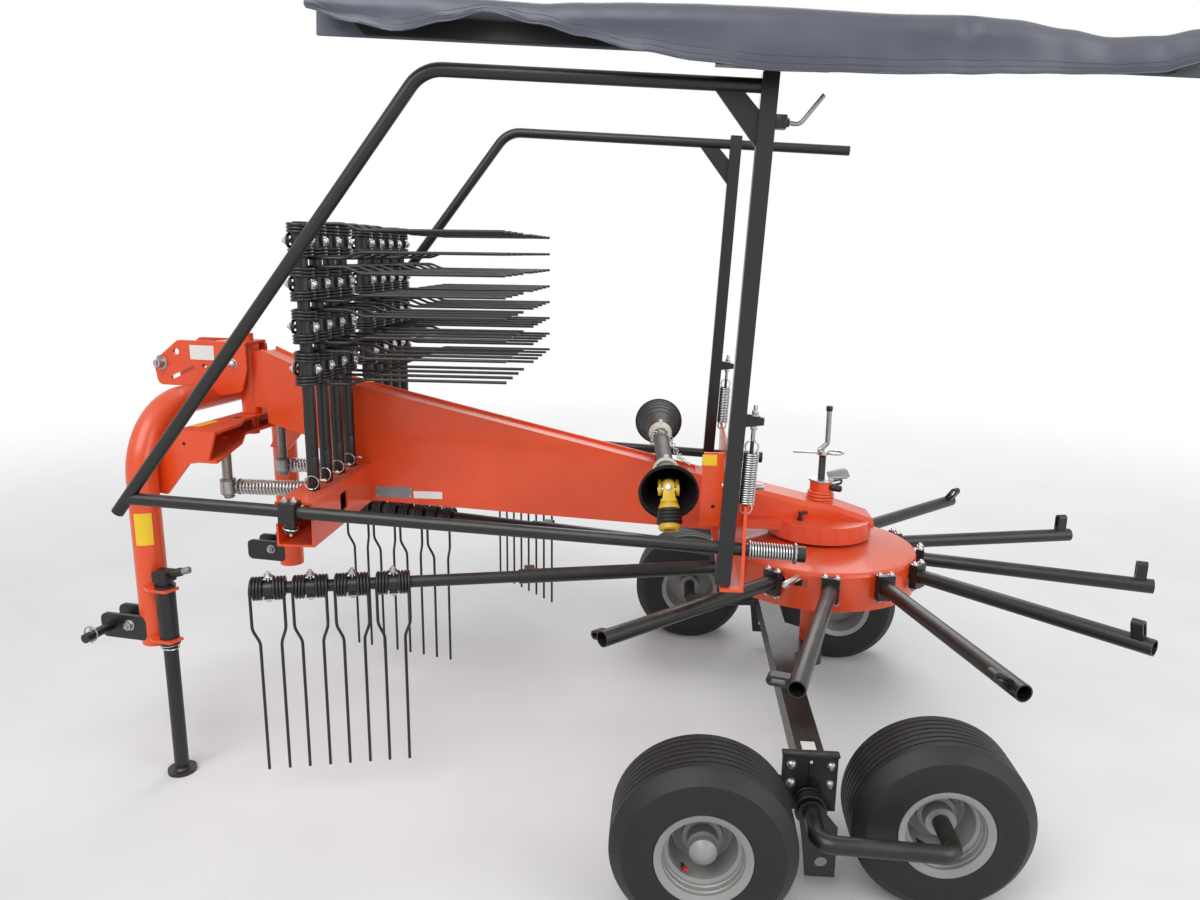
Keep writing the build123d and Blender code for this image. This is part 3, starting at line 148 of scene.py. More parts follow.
class Board:
    """A node tree with short calls for the nodes that the finishes use."""

    def __init__(self, tree: bpy.types.NodeTree) -> None:
        """Keeps the tree."""
        self.tree = tree

    @classmethod
    def emptied(cls, owner: bpy.types.ID) -> "Board":
        """The board of a material or world, cleared of its first nodes.

        Args:
            owner: the material or world.

        Returns:
            Its board.
        """
        owner.use_nodes = True
        owner.node_tree.nodes.clear()
        return cls(owner.node_tree)

    def add(self, kind: str, links: dict | None = None, **settings) -> bpy.types.Node:
        """Adds a node.

        Args:
            kind: the node's type.
            links: by input name or number, a socket to link or a value to set.
            settings: properties of the node.

        Returns:
            The node.
        """
        node = self.tree.nodes.new(kind)
        for name, value in settings.items():
            setattr(node, name, value)
        for name, value in (links or {}).items():
            if isinstance(value, bpy.types.NodeSocket):
                self.tree.links.new(value, node.inputs[name])
            else:
                node.inputs[name].default_value = value
        return node

    def math(self, operation: str, *values, clamp: bool = False) -> bpy.types.NodeSocket:
        """A math node's result."""
        links = dict(enumerate(values))
        return self.add("ShaderNodeMath", links, operation=operation, use_clamp=clamp).outputs[0]

    def noise(self, where, scale, detail: float = 4.0, rough: float = 0.55) -> bpy.types.NodeSocket:
        """A noise value at a place."""
        links = {"Vector": where, "Scale": scale, "Detail": detail, "Roughness": rough}
        return self.add("ShaderNodeTexNoise", links).outputs[0]

    def place(self) -> bpy.types.NodeSocket:
        """Where the surface is, in the object's own coordinates."""
        return self.add("ShaderNodeTexCoord").outputs["Object"]

    def upward(self, value) -> bpy.types.NodeSocket:
        """A vector's third part."""
        return self.add("ShaderNodeSeparateXYZ", {0: value}).outputs[2]

    def span(self, value, low, high, start: float = 0.0, end: float = 1.0) -> bpy.types.NodeSocket:
        """A value brought smoothly from low..high to start..end."""
        links = {0: value, 1: low, 2: high, 3: start, 4: end}
        return self.add("ShaderNodeMapRange", links, interpolation_type="SMOOTHSTEP").outputs[0]

    def blend(self, share, low, high) -> bpy.types.NodeSocket:
        """Two colours mixed by a share."""
        return self.add("ShaderNodeMix", {0: share, 6: low, 7: high}, data_type="RGBA").outputs[2]

    def level(self, share, low: float, high: float) -> bpy.types.NodeSocket:
        """A number between low and high by a share."""
        return self.add("ShaderNodeMapRange", {0: share, 3: low, 4: high}).outputs[0]


class Effect:
    """A shader node group with named inputs and outputs, made the first time it is asked for."""

    name = "effect"
    inputs: tuple[tuple[str, float], ...] = ()
    outputs: tuple[str, ...] = ("Mask",)

    @classmethod
    def tree(cls) -> bpy.types.NodeTree:
        """The group itself.

        Returns:
            The node tree under the effect's name.
        """
        found = bpy.data.node_groups.get(cls.name)
        if found:
            return found
        tree = bpy.data.node_groups.new(cls.name, "ShaderNodeTree")
        for name, value in cls.inputs:
            socket = tree.interface.new_socket(name, in_out="INPUT", socket_type="NodeSocketFloat")
            socket.default_value = value
        for name in cls.outputs:
            tree.interface.new_socket(name, in_out="OUTPUT", socket_type="NodeSocketFloat")
        made = cls.draw(Board(tree), tree.nodes.new("NodeGroupInput").outputs)
        result = tree.nodes.new("NodeGroupOutput")
        for name, socket in zip(cls.outputs, made):
            tree.links.new(socket, result.inputs[name])
        return tree

    @classmethod
    def draw(cls, board: Board, given) -> tuple[bpy.types.NodeSocket, ...]:
        """Draws the group's nodes from what it is given, and returns its outputs."""
        return ()


class Dust(Effect):
    """Dust on surfaces that face up, thicker near the ground."""

    name = "dust"
    inputs = (("Amount", 0.5), ("Scale", 9.0), ("Low", 0.02), ("High", 0.35))

    @classmethod
    def draw(cls, board: Board, given) -> tuple[bpy.types.NodeSocket, ...]:
        """Multiplies the surface's slope, its height above ground and a cloudy pattern.

        Args:
            board: the group's board.
            given: the sockets of its inputs.

        Returns:
            The share of dust.
        """
        place = board.place()
        normal = board.add("ShaderNodeNewGeometry").outputs["Normal"]
        up = board.span(board.upward(normal), 0.1, 0.95)
        low = board.span(board.upward(place), given["Low"], given["High"], 1.0, 0.0)
        both = board.math("MAXIMUM", up, board.math("MULTIPLY", low, 0.6))
        cloud = board.math("MULTIPLY", board.noise(place, given["Scale"], 7.0, 0.62), 0.85)
        pattern = board.math("MULTIPLY_ADD", board.noise(place, 160.0, 3.0, 0.7), 0.35, cloud)
        mask = board.math("MULTIPLY", both, board.span(pattern, 0.42, 0.78))
        return (board.math("MULTIPLY", mask, given["Amount"], clamp=True),)


class Scuffs(Effect):
    """Fine scratches and small rubbed spots."""

    name = "scuffs"
    inputs = (("Scale", 26.0), ("Amount", 0.4))

    @classmethod
    def draw(cls, board: Board, given) -> tuple[bpy.types.NodeSocket, ...]:
        """Draws stretched noise for scratches and broken noise for spots.

        Args:
            board: the group's board.
            given: the sockets of its inputs.

        Returns:
            The share of bare surface.
        """
        place = board.place()
        links = {"Vector": place, "Rotation": (0.5, 0.4, 0.7), "Scale": (1.0, 9.0, 3.0)}
        stretched = board.add("ShaderNodeMapping", links).outputs[0]
        lines = board.span(board.noise(stretched, given["Scale"], 3.0, 0.5), 0.66, 0.72)
        spots = board.span(board.noise(place, 34.0, 8.0, 0.72), 0.68, 0.74)
        where = board.span(board.noise(place, 3.0, 2.0, 0.5), 0.45, 0.7)
        both = board.math("MULTIPLY", board.math("MAXIMUM", lines, spots), where)
        return (board.math("MULTIPLY", both, given["Amount"], clamp=True),)


class Patches(Effect):
    """Slow changes of tone over a surface."""

    name = "patches"
    inputs = (("Scale", 2.5),)
    outputs = ("Share", "Fine")

    @classmethod
    def draw(cls, board: Board, given) -> tuple[bpy.types.NodeSocket, ...]:
        """Gives a broad share and a fine one."""
        place = board.place()
        broad = board.noise(place, given["Scale"], 5.0, 0.6)
        return board.span(broad, 0.3, 0.7), board.noise(place, 70.0, 4.0, 0.6)


class Grain(Enum):
    """What a finish's surface relief is made of."""

    SPRAY = "orange peel of sprayed paint"
    ROLLED = "long marks of drawn steel"
    SPANGLE = "crystals of a zinc coat"
    MOULDED = "fine pits of moulded plastic"
    RUBBER = "dull speckle of rubber"
    WEAVE = "crossed threads under a coat"


@dataclass(frozen=True)
class Finish:
    """One finish: its colour, gloss, relief, dust and wear."""

    name: str
    slot: str
    colour: Colour
    shade: Colour
    gloss: Plan = (0.35, 0.5)
    metallic: float = 0.0
    coat: float = 0.0
    grain: Grain = Grain.SPRAY
    relief: float = 0.15
    worn: Colour = (120, 118, 114)
    wear: float = 0.3
    dust: float = 0.25
    dust_colour: Colour = (150, 138, 120)
    patch: float = 2.5

    def height(self, board: Board) -> bpy.types.NodeSocket:
        """The relief's height, by the kind of grain.

        Args:
            board: the material's board.

        Returns:
            The height.
        """
        place = board.place()
        if self.grain is Grain.SPRAY:
            return board.noise(place, 210.0, 2.0, 0.5)
        if self.grain is Grain.ROLLED:
            long = board.add("ShaderNodeMapping", {"Vector": place, "Scale": (0.12, 0.12, 1.0)})
            return board.noise(long.outputs[0], 300.0, 3.0, 0.6)
        if self.grain is Grain.SPANGLE:
            cells = board.add("ShaderNodeTexVoronoi", {"Vector": place, "Scale": 95.0})
            rough = board.noise(place, 260.0, 3.0, 0.6)
            return board.math("ADD", cells.outputs["Distance"], rough)
        if self.grain is Grain.MOULDED:
            return board.noise(place, 480.0, 3.0, 0.65)
        if self.grain is Grain.RUBBER:
            broad = board.noise(place, 22.0, 2.0, 0.5)
            return board.math("ADD", board.noise(place, 150.0, 4.0, 0.7), broad)
        threads = []
        for turn in (0.0, pi / 2):
            turned = board.add("ShaderNodeMapping", {"Vector": place, "Rotation": (0.0, turn, 0.0)})
            links = {"Vector": turned.outputs[0], "Scale": 190.0, "Distortion": 0.6}
            threads.append(board.add("ShaderNodeTexWave", links).outputs["Fac"])
        woven = board.math("MAXIMUM", *threads)
        return board.math("ADD", woven, board.noise(place, 14.0, 3.0, 0.5))

    def make(self) -> bpy.types.Material:
        """The material, made once.

        Returns:
            The material under this finish's name.
        """
        found = bpy.data.materials.get(self.name)
        if found:
            return found
        material = bpy.data.materials.new(self.name)
        board = Board.emptied(material)
        patches, scuffs, dust = [
            board.add("ShaderNodeGroup", {name: value}, node_tree=effect.tree())
            for effect, name, value in (
                (Patches, "Scale", self.patch),
                (Scuffs, "Amount", self.wear),
                (Dust, "Amount", self.dust),
            )
        ]
        fine, rubbed, dusty = patches.outputs["Fine"], scuffs.outputs[0], dust.outputs[0]
        share = board.math("MULTIPLY_ADD", fine, 0.3, patches.outputs["Share"], clamp=True)
        colour = board.blend(share, linear(self.colour), linear(self.shade))
        colour = board.blend(rubbed, colour, linear(self.worn))
        colour = board.blend(dusty, colour, linear(self.dust_colour))
        gloss = board.math("MULTIPLY_ADD", rubbed, 0.2, board.level(fine, *self.gloss))
        gloss = board.math("MULTIPLY_ADD", dusty, 0.45, gloss, clamp=True)
        links = {"Height": self.height(board), "Strength": self.relief, "Distance": 0.002}
        bump = board.add("ShaderNodeBump", links)
        links = {
            "Base Color": colour,
            "Roughness": gloss,
            "Metallic": self.metallic,
            "Coat Weight": self.coat,
            "Coat Roughness": 0.12,
            "Normal": bump.outputs[0],
        }
        shader = board.add("ShaderNodeBsdfPrincipled", links)
        board.add("ShaderNodeOutputMaterial", {0: shader.outputs[0]})
        return material


ORANGE = Finish("orange_paint", "orange", (230, 78, 24), (214, 68, 20), (0.28, 0.42), coat=0.35,
                worn=(120, 72, 52), wear=0.22, dust=0.22, relief=0.06)
BLACK = Finish("black_satin_paint", "black_steel", (15, 16, 18), (10, 11, 12), (0.34, 0.5),
               coat=0.15, worn=(78, 78, 80), wear=0.22, dust=0.1, relief=0.08)
SPRING_WIRE = Finish("black_spring_wire", "tine_steel", (14, 15, 17), (9, 10, 11), (0.3, 0.46),
                     coat=0.2, grain=Grain.ROLLED, worn=(92, 91, 90), dust=0.08, relief=0.1)
ZINC = Finish("zinc_plate", "zinc", (196, 197, 196), (150, 152, 153), (0.26, 0.42), metallic=0.9,
              grain=Grain.SPANGLE, relief=0.1, worn=(120, 112, 100), wear=0.35, dust=0.2)
BRIGHT = Finish("bright_bolt", "zinc", (226, 226, 224), (180, 181, 182), (0.18, 0.3),
                metallic=0.95, grain=Grain.ROLLED, relief=0.06, worn=(130, 124, 112), wear=0.25,
                dust=0.12)
SPRING_STEEL = Finish("bare_spring_steel", "zinc", (176, 174, 168), (120, 117, 110),
                      (0.28, 0.44), metallic=0.85, grain=Grain.ROLLED, relief=0.1,
                      worn=(96, 78, 60), wear=0.4, dust=0.2)
PLASTIC = Finish("black_moulded_plastic", "black_plastic", (18, 19, 20), (12, 13, 14),
                 (0.40, 0.56), grain=Grain.MOULDED, relief=0.2, worn=(80, 80, 80), wear=0.2,
                 dust=0.12)
TYRE = Finish("tyre_rubber", "tyre", (18, 18, 19), (12, 12, 13), (0.46, 0.62),
              grain=Grain.RUBBER, relief=0.2, worn=(40, 40, 40), dust=0.12,
              dust_colour=(64, 62, 59), patch=6.0)
DISC = Finish("silver_wheel_paint", "wheel_disc", (178, 178, 176), (146, 147, 146),
              metallic=0.25, coat=0.1, gloss=(0.34, 0.5), worn=(108, 96, 84), wear=0.4, dust=0.35,
              relief=0.08)
BAR = Finish("black_bar_paint", "bar_paint", (20, 20, 22), (14, 14, 16), (0.4, 0.55),
             worn=(64, 64, 66), wear=0.25, dust=0.1, relief=0.08)
# The curtain's black coated cloth: its own dark colour lifted to a grey-blue that paints its sheen
# and reflection into the colour
CURTAIN_WITH_SHEEN = Finish("curtain_cloth_painted_sheen", "curtain_cloth", (88, 91, 102), (76, 79, 90),
                 (0.32, 0.44), grain=Grain.WEAVE, relief=0.12, worn=(140, 142, 148), wear=0.15,
                 dust=0.12, patch=1.6)
YELLOW = Finish("yellow_paint", "yellow_steel", (226, 186, 40), (206, 164, 30), (0.34, 0.5),
                coat=0.1, worn=(110, 92, 60), wear=0.35, relief=0.08)
GREY_PLATE = Finish("grey_plate", "zinc", (150, 152, 154), (130, 132, 135), (0.4, 0.52),
                    metallic=0.5, grain=Grain.ROLLED, relief=0.06, dust=0.2)
WHITE_LABEL = Finish("white_label", "orange", (232, 232, 228), (218, 218, 214), (0.4, 0.5),
                     relief=0.03, worn=(170, 160, 150), wear=0.25, dust=0.12)
YELLOW_LABEL = Finish("yellow_label", "orange", (240, 200, 40), (228, 186, 34), (0.4, 0.5),
                      relief=0.03, worn=(170, 150, 90), wear=0.25, dust=0.12)
CREAM = Finish("cream_plastic", "black_plastic", (222, 216, 200), (200, 193, 176), (0.45, 0.6),
               grain=Grain.MOULDED, relief=0.12, worn=(150, 140, 120), dust=0.3)
RED_PLASTIC = Finish("red_cap_plastic", "black_plastic", (186, 32, 30), (160, 26, 24),
                     (0.4, 0.5), grain=Grain.MOULDED, relief=0.1, wear=0.2, dust=0.2)

CAD_FINISHES = {
    BLACK: (
        "rotor_hub", "rotor_arms", "fitted_tine_arms", "hinge_clamps", "axle_beam",
        "racked_arms_left", "racked_arms_right", "lower_link_left", "lower_link_right",
        "parking_stand", "guard_left", "guard_right", "curtain_arm", "bogie_left", "bogie_right",
    ),
    ORANGE: (
        "rotor_dish", "main_beam", "rack_left", "rack_right", "strut_guides", "rear_cross_member",
        "gearbox", "headstock_arch", "headstock_channel", "stand_holder",
    ),
    PLASTIC: ("drive_shaft", "shaft_guards"),
    ZINC: ("steering_strut_left", "steering_strut_right"),
    BAR: ("curtain_bar",),
    DISC: ("rim_front_left", "rim_front_right", "rim_rear_left", "rim_rear_right"),
}


# Mesh making


def tube(inner: float, outer: float, low: float, high: float) -> Outline:
    """The section of a plain tube."""
    return ((inner, low), (outer, low), (outer, high), (inner, high))


def washer(inner: float, radius: float, thick: float, out: float, up: float) -> Outline:
    """The section of a flat ring whose outer edges are broken, out wide and up high."""
    rim = ((radius, 0.0), (radius + out, up), (radius + out, thick - up), (radius, thick))
    return ((inner, 0.0), *rim, (inner, thick))


class Shape:
    """A mesh under construction, whose points and places are given in axes of its own."""

    def __init__(self, place: Matrix = BASE) -> None:
        """Starts empty, with the axes that it is given in."""
        self.mesh = bmesh.new()
        self.place = place

    def spot(self, point: Point) -> Vector:
        """A point of the shape's own axes, in the model's frame."""
        return self.place @ Vector(point)

    def axes(self, spot: Spot) -> Matrix:
        """A point or a turned place of the shape's own axes, in the model's frame."""
        return self.place @ (spot if isinstance(spot, Matrix) else Matrix.Translation(spot))

    def rod(self, start: Point, end: Point, radius: float, sides: int = 20,
            edge: float = 0.0) -> "Shape":
        """A round bar from one point to another.

        Args:
            start: centre of one end.
            end: centre of the other end.
            radius: its radius.
            sides: how many sides it has.
            edge: width of the chamfer round both ends.

        Returns:
            The shape itself.
        """
        start, end = self.spot(start), self.spot(end)
        made = bmesh.ops.create_cone(
            self.mesh, cap_ends=True, segments=sides, radius1=radius, radius2=radius,
            depth=(end - start).length, matrix=aim((start + end) / 2, end - start),
        )
        if edge:
            self.soften([e for v in made["verts"] for e in v.link_edges if len(e.link_faces) == 2
                         and any(len(f.verts) > 4 for f in e.link_faces)], edge, 2)
        return self

    def pairs(self, *rows) -> "Shape":
        """Round bars on both sides.

        Args:
            rows: what rod takes, each for the side where Y is positive.

        Returns:
            The shape itself.
        """
        for side in SIDES:
            for (x0, y0, z0), (x1, y1, z1), *rest in rows:
                self.rod((x0, side * y0, z0), (x1, side * y1, z1), *rest)
        return self

    def block(self, spot: Spot, size: Point, edge: float = 0.0, steps: int = 2) -> "Shape":
        """A block with rounded edges.

        Args:
            spot: its middle.
            size: its length along each axis.
            edge: width of the rounding.
            steps: how many facets round an edge.

        Returns:
            The shape itself.
        """
        place = self.axes(spot) @ Matrix.Diagonal((*size, 1.0))
        made = bmesh.ops.create_cube(self.mesh, size=1.0, matrix=place)
        if edge:
            self.soften({e for v in made["verts"] for e in v.link_edges}, edge, steps)
        return self

    def plate(self, spot: Spot, outline: Outline, thick: float, edge: float) -> "Shape":
        """A flat plate with rounded edges.

        Args:
            spot: where its outline's origin lies.
            outline: its corners in X and Y.
            thick: how thick it is, half to each side.
            edge: width of the rounding.

        Returns:
            The shape itself.
        """
        place = self.axes(spot)
        verts = [self.mesh.verts.new(place @ Vector((x, y, -thick / 2))) for x, y in outline]
        made = bmesh.ops.extrude_face_region(self.mesh, geom=[self.mesh.faces.new(verts)])
        moved = [g for g in made["geom"] if isinstance(g, bmesh.types.BMVert)]
        bmesh.ops.translate(self.mesh, verts=moved, vec=place.to_3x3() @ UP * thick)
        both = {f for v in verts + moved for f in v.link_faces}
        bmesh.ops.recalc_face_normals(self.mesh, faces=list(both))
        self.soften({e for f in both for e in f.edges}, edge, 2)
        return self

    def soften(self, edges: list | set, width: float, steps: int) -> None:
        """Rounds edges.

        Args:
            edges: the edges.
            width: the width of the rounding.
            steps: how many facets round an edge.
        """
        bmesh.ops.bevel(
            self.mesh, geom=list(set(edges)), offset=width, offset_type="OFFSET", segments=steps,
            profile=0.5, affect="EDGES", material=-1, clamp_overlap=True,
        )

    def lathe(self, spot: Spot, outline: Outline, steps: int = 32, closed: bool = True) -> "Shape":
        """A turned shape.

        Args:
            spot: its foot, with Z along the axis of turning.
            outline: radius and height of each point of the profile.
            steps: how many facets go round.
            closed: whether the profile's ends are joined, as in a ring.

        Returns:
            The shape itself.
        """
        place = self.axes(spot)
        old = set(self.mesh.verts)
        verts = [self.mesh.verts.new(place @ Vector((r, 0.0, z))) for r, z in outline]
        pairs = list(zip(verts, verts[1:])) + ([(verts[-1], verts[0])] if closed else [])
        edges = [self.mesh.edges.new(pair) for pair in pairs]
        bmesh.ops.spin(
            self.mesh, geom=verts + edges, cent=place.translation, axis=place.to_3x3() @ UP,
            angle=tau, steps=steps, use_merge=True, use_duplicate=False,
        )
        made = [v for v in self.mesh.verts if v not in old]
        bmesh.ops.remove_doubles(self.mesh, verts=made, dist=1e-6)
        return self

    def wrap(self, spot: Spot, radius: float, angle: float, high: float) -> "Shape":
        """A thin label round a tube.

        Args:
            spot: the middle of the label's height, with X towards its first edge.
            radius: the tube's radius.
            angle: how far round it goes.
            high: its height.

        Returns:
            The shape itself.
        """
        place = self.axes(spot)
        corners = tube(radius, radius + 0.0006, -high / 2, high / 2)
        verts = [self.mesh.verts.new(place @ Vector((x, 0.0, z))) for x, z in corners]
        bmesh.ops.spin(
            self.mesh, geom=[self.mesh.faces.new(verts)], cent=place.translation,
            axis=place.to_3x3() @ UP, angle=angle, steps=18, use_duplicate=False,
        )
        return self

    def ring(self, spot: Spot, radius: float, wire: float, steps: int = 28,
             sides: int = 8) -> "Shape":
        """A ring of round wire about the Z of its place.

        Args:
            spot: its middle.
            radius: the radius of the wire's middle line.
            wire: the wire's radius.
            steps: how many facets go round.
            sides: how many sides the wire has.

        Returns:
            The shape itself.
        """
        place = self.axes(spot)
        path = Wire(self, place @ Vector((radius, 0.0, 0.0)), place.to_3x3() @ ACROSS, wire, sides)
        path.turn(place.translation, place.to_3x3() @ UP, tau, steps)
        return self

    def coil(self, start: Point, end: Point, radius: float, wire: float, turns: float) -> "Shape":
        """A close-wound spring between two points.

        Args:
            start: the middle of its first end.
            end: the middle of its last end.
            radius: its outer radius.
            wire: the wire's radius.
            turns: how often it goes round.

        Returns:
            The shape itself.
        """
        foot = self.spot(start)
        way = self.spot(end) - foot
        place = aim(foot, way)
        path = Wire(self, place @ Vector((radius - wire, 0.0, wire)), place.to_3x3() @ ACROSS, wire)
        path.turn(foot, way, tau * turns, round(turns * 18), way.length - 2 * wire)
        return self

    def bent(self, points: list[Point], radius: float, bend: float, sides: int) -> "Shape":
        """A bent bar.

        Args:
            points: its ends and the corners between them.
            radius: its radius.
            bend: the radius of its bends.
            sides: how many sides it has.

        Returns:
            The shape itself.
        """
        stops = [self.spot(p) for p in points]
        Wire(self, stops[0], stops[1] - stops[0], radius, sides).run(stops[1:], bend)
        return self

    def bolt(self, point: Point, axis: Vector, across: float, high: float, under: float = 0.0,
             dome: bool = False) -> "Shape":
        """A bolt head or nut on a surface.

        Args:
            point: where it sits.
            axis: away from the surface.
            across: its width.
            high: its height.
            under: the radius of a washer under it, if any.
            dome: whether the head is a round dome.

        Returns:
            The shape itself.
        """
        start = Vector(point) - axis * 0.0008
        if under:
            self.rod(start, start + axis * 0.0030, under, 24, 0.0005)
            start = start + axis * 0.0026
        if dome:
            r = across / 2
            arc = [(r * cos(a), high * sin(a)) for a in map(radians, (0, 18, 36, 54, 72))]
            return self.lathe(aim(start, axis), ((r, -0.001), *arc, (0.0, high)), 24, False)
        self.rod(start, start + axis * high, across / sqrt(3.0), 6, high * 0.12)
        return self.rod(start, start + axis * (high + 0.006), across * 0.3, 14, 0.0008)

    def copy(self, other: bpy.types.Mesh, spot: Spot) -> None:
        """Adds a finished mesh at a place.

        Args:
            other: the mesh.
            spot: where its origin goes.
        """
        before = len(self.mesh.verts)
        self.mesh.from_mesh(other)
        self.mesh.verts.ensure_lookup_table()
        bmesh.ops.transform(self.mesh, matrix=self.axes(spot), verts=self.mesh.verts[before:])

    def as_mesh(self, name: str) -> bpy.types.Mesh:
        """The mesh alone.

        Args:
            name: its name.

        Returns:
            The mesh with its faces turned outwards.
        """
        bmesh.ops.recalc_face_normals(self.mesh, faces=self.mesh.faces)
        made = bpy.data.meshes.new(name)
        self.mesh.to_mesh(made)
        self.mesh.free()
        return made

    def finish(self, name: str, finish: Finish, body: str = "chassis",
               sharp: float = 35.0) -> bpy.types.Object:
        """Makes the piece, dresses it and lets it ride.

        Args:
            name: the piece's name.
            finish: its finish.
            body: the CAD body it rides on.
            sharp: the angle in degrees past which an edge looks sharp.

        Returns:
            The new object.
        """
        made = self.as_mesh(name)
        made.shade_smooth()
        made.set_sharp_from_angle(angle=radians(sharp))
        made.materials.append(finish.make())
        piece = scene_object(name, made)
        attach(piece, body)
        log.info("%s: %d faces, rides on %s", name, len(made.polygons), body)
        return piece


class Wire:
    """A bent wire or bar, made as a bender makes it: fed straight, turned round a pin, wound up."""

    def __init__(self, shape: Shape, start: Vector, heading: Vector, radius: float,
                 sides: int = 8) -> None:
        """Starts the wire with its end face.

        Args:
            shape: the shape that takes it.
            start: the middle of its end, in the model's frame.
            heading: which way it sets out.
            radius: its radius.
            sides: how many sides it has.
        """
        self.shape = shape
        self.point = start
        self.heading = heading.normalized()
        made = bmesh.ops.create_circle(
            shape.mesh, cap_ends=True, segments=sides, radius=radius, matrix=aim(start, heading)
        )
        self.end = list({f for v in made["verts"] for f in v.link_faces})

    def feed(self, to: Vector) -> None:
        """Goes straight to a point.

        Args:
            to: the point.
        """
        made = bmesh.ops.extrude_face_region(self.shape.mesh, geom=self.end)
        moved = [g for g in made["geom"] if isinstance(g, bmesh.types.BMVert)]
        bmesh.ops.translate(self.shape.mesh, verts=moved, vec=to - self.point)
        self.end = [g for g in made["geom"] if isinstance(g, bmesh.types.BMFace)]
        self.point = to

    def turn(self, centre: Vector, axis: Vector, angle: float, steps: int,
             rise: float = 0.0) -> None:
        """Turns round a pin.

        Args:
            centre: the pin's centre.
            axis: the pin's axis, right-handed.
            angle: how far it turns, in radians.
            steps: how many facets the turn has.
            rise: how far it climbs along the axis on the way.
        """
        way = axis.normalized()
        made = bmesh.ops.spin(
            self.shape.mesh, geom=self.end, cent=centre, axis=way, dvec=way * (rise / steps),
            angle=angle, steps=steps, use_duplicate=False,
        )
        self.end = [g for g in made["geom_last"] if isinstance(g, bmesh.types.BMFace)]
        spun = Matrix.Rotation(angle, 3, way)
        self.point = centre + spun @ (self.point - centre) + way * rise
        self.heading = spun @ self.heading

    def run(self, points: list[Vector], bend: float) -> None:
        """Goes through the points, with each corner turned round a pin.

        Args:
            points: the corners and the far end.
            bend: the pin's radius.
        """
        for corner, after in zip(points, points[1:]):
            self.heading = (corner - self.point).normalized()
            leave = (after - corner).normalized()
            angle = self.heading.angle(leave)
            if angle < 0.02:
                self.feed(corner)
                continue
            self.feed(corner - self.heading * bend * tan(angle / 2))
            axis = self.heading.cross(leave).normalized()
            centre = self.point + axis.cross(self.heading) * bend
            self.turn(centre, axis, angle, max(2, round(angle / 0.3)))
        self.feed(points[-1])


# Tines


@dataclass
class DoubleTine:
    """One double tine about a tube that lies on Z, its tines along X."""

    wire: float = 0.0045
    coil: float = 0.0305
    foot: float = 0.046
    turns: float = 3.25
    rise: float = 0.0296
    kink_start: float = 0.112
    kink_end: float = 0.158
    kink_set: float = 0.014
    bend: float = 0.045
    tip_half: float = 0.02925
    length: float = 0.557
    bore: float = 0.0178
    sleeve: float = 0.0236

    def wires(self) -> bpy.types.Mesh:
        """The spring wire from tip to tip, with both coils and the loop between them.

        Returns:
            The wire's mesh.
        """
        shape = Shape(MODEL)
        low = self.coil - self.kink_set
        wire = Wire(shape, Vector((self.length, low, -self.tip_half)), -ALONG, self.wire)
        kink_end = Vector((self.kink_end, low, -self.tip_half))
        kink_start = Vector((self.kink_start, self.coil, -self.foot))
        wire.run([kink_end, kink_start, Vector((0.0, self.coil, -self.foot))], self.bend)
        steps = round(self.turns * 16)
        wire.turn(Vector((0.0, 0.0, -self.foot)), UP, self.turns * tau, steps, self.rise)
        wire.turn(Vector((-self.coil, 0.0, 0.0)), -ALONG, pi, 8)
        middle = Vector((0.0, 0.0, wire.point.z))
        wire.turn(middle, -UP, self.turns * tau, steps, -self.rise)
        back = [
            Vector((self.kink_start, self.coil, self.foot)),
            Vector((self.kink_end, low, self.tip_half)),
            Vector((self.length, low, self.tip_half)),
        ]
        wire.run(back, self.bend)
        return shape.as_mesh("double_tine_wire")

    def sleeves(self) -> bpy.types.Mesh:
        """The pressed sleeve round the tube inside the coils.

        Returns:
            The sleeve's mesh.
        """
        half, edge = self.foot - 0.002, self.sleeve - 0.001
        outline = (
            (self.bore, -half), (edge, -half), (self.sleeve, 0.001 - half),
            (self.sleeve, half - 0.001), (edge, half), (self.bore, half),
        )
        shape = Shape(MODEL).lathe((0.0, 0.0, 0.0), outline, 20)
        return shape.block((0.024, 0.0, 0.0), (0.010, 0.030, 0.022), 0.0015).as_mesh("tine_sleeve")

    def bolts(self) -> bpy.types.Mesh:
        """The through bolt with its nut and washers.

        Returns:
            The bolt's mesh.
        """
        shape = Shape(MODEL).block((0.0305, 0.0, 0.0), (0.004, 0.026, 0.027), 0.0012)
        shape.bolt((0.0325, 0.0, 0.0), ALONG, 0.021, 0.010, dome=True)
        shape.bolt((-0.0350, 0.0, 0.0), -ALONG, 0.018, 0.007, 0.0135)
        return shape.rod((-0.036, 0.0, 0.0), (-0.020, 0.0, 0.0), 0.006, 12).as_mesh("tine_bolt")


@dataclass
class TineArms:
    """The double tines on a group of arms."""

    name: str
    node: str
    body: str
    places: list[Matrix]
    first: float = 0.812
    pitch: float = 0.1157
    count: int = 4

    def build(self, tine: DoubleTine) -> None:
        """Copies the double tine to its stations on every arm.

        Args:
            tine: the double tine.
        """
        stations = [
            place @ Matrix.Translation((0.0, 0.0, self.first - n * self.pitch))
            for place in self.places for n in range(self.count)
        ]
        for kind, mesh, finish, sharp in (
            ("wires", tine.wires(), SPRING_WIRE, 50.0),
            ("sleeves", tine.sleeves(), BLACK, 35.0),
            ("bolts", tine.bolts(), BRIGHT, 30.0),
        ):
            shape = Shape(MODEL)
            for station in stations:
                shape.copy(mesh, station)
            piece = shape.finish(f"{self.name}_{kind}", finish, self.body, sharp)
            if kind == "wires":
                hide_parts(self.node)


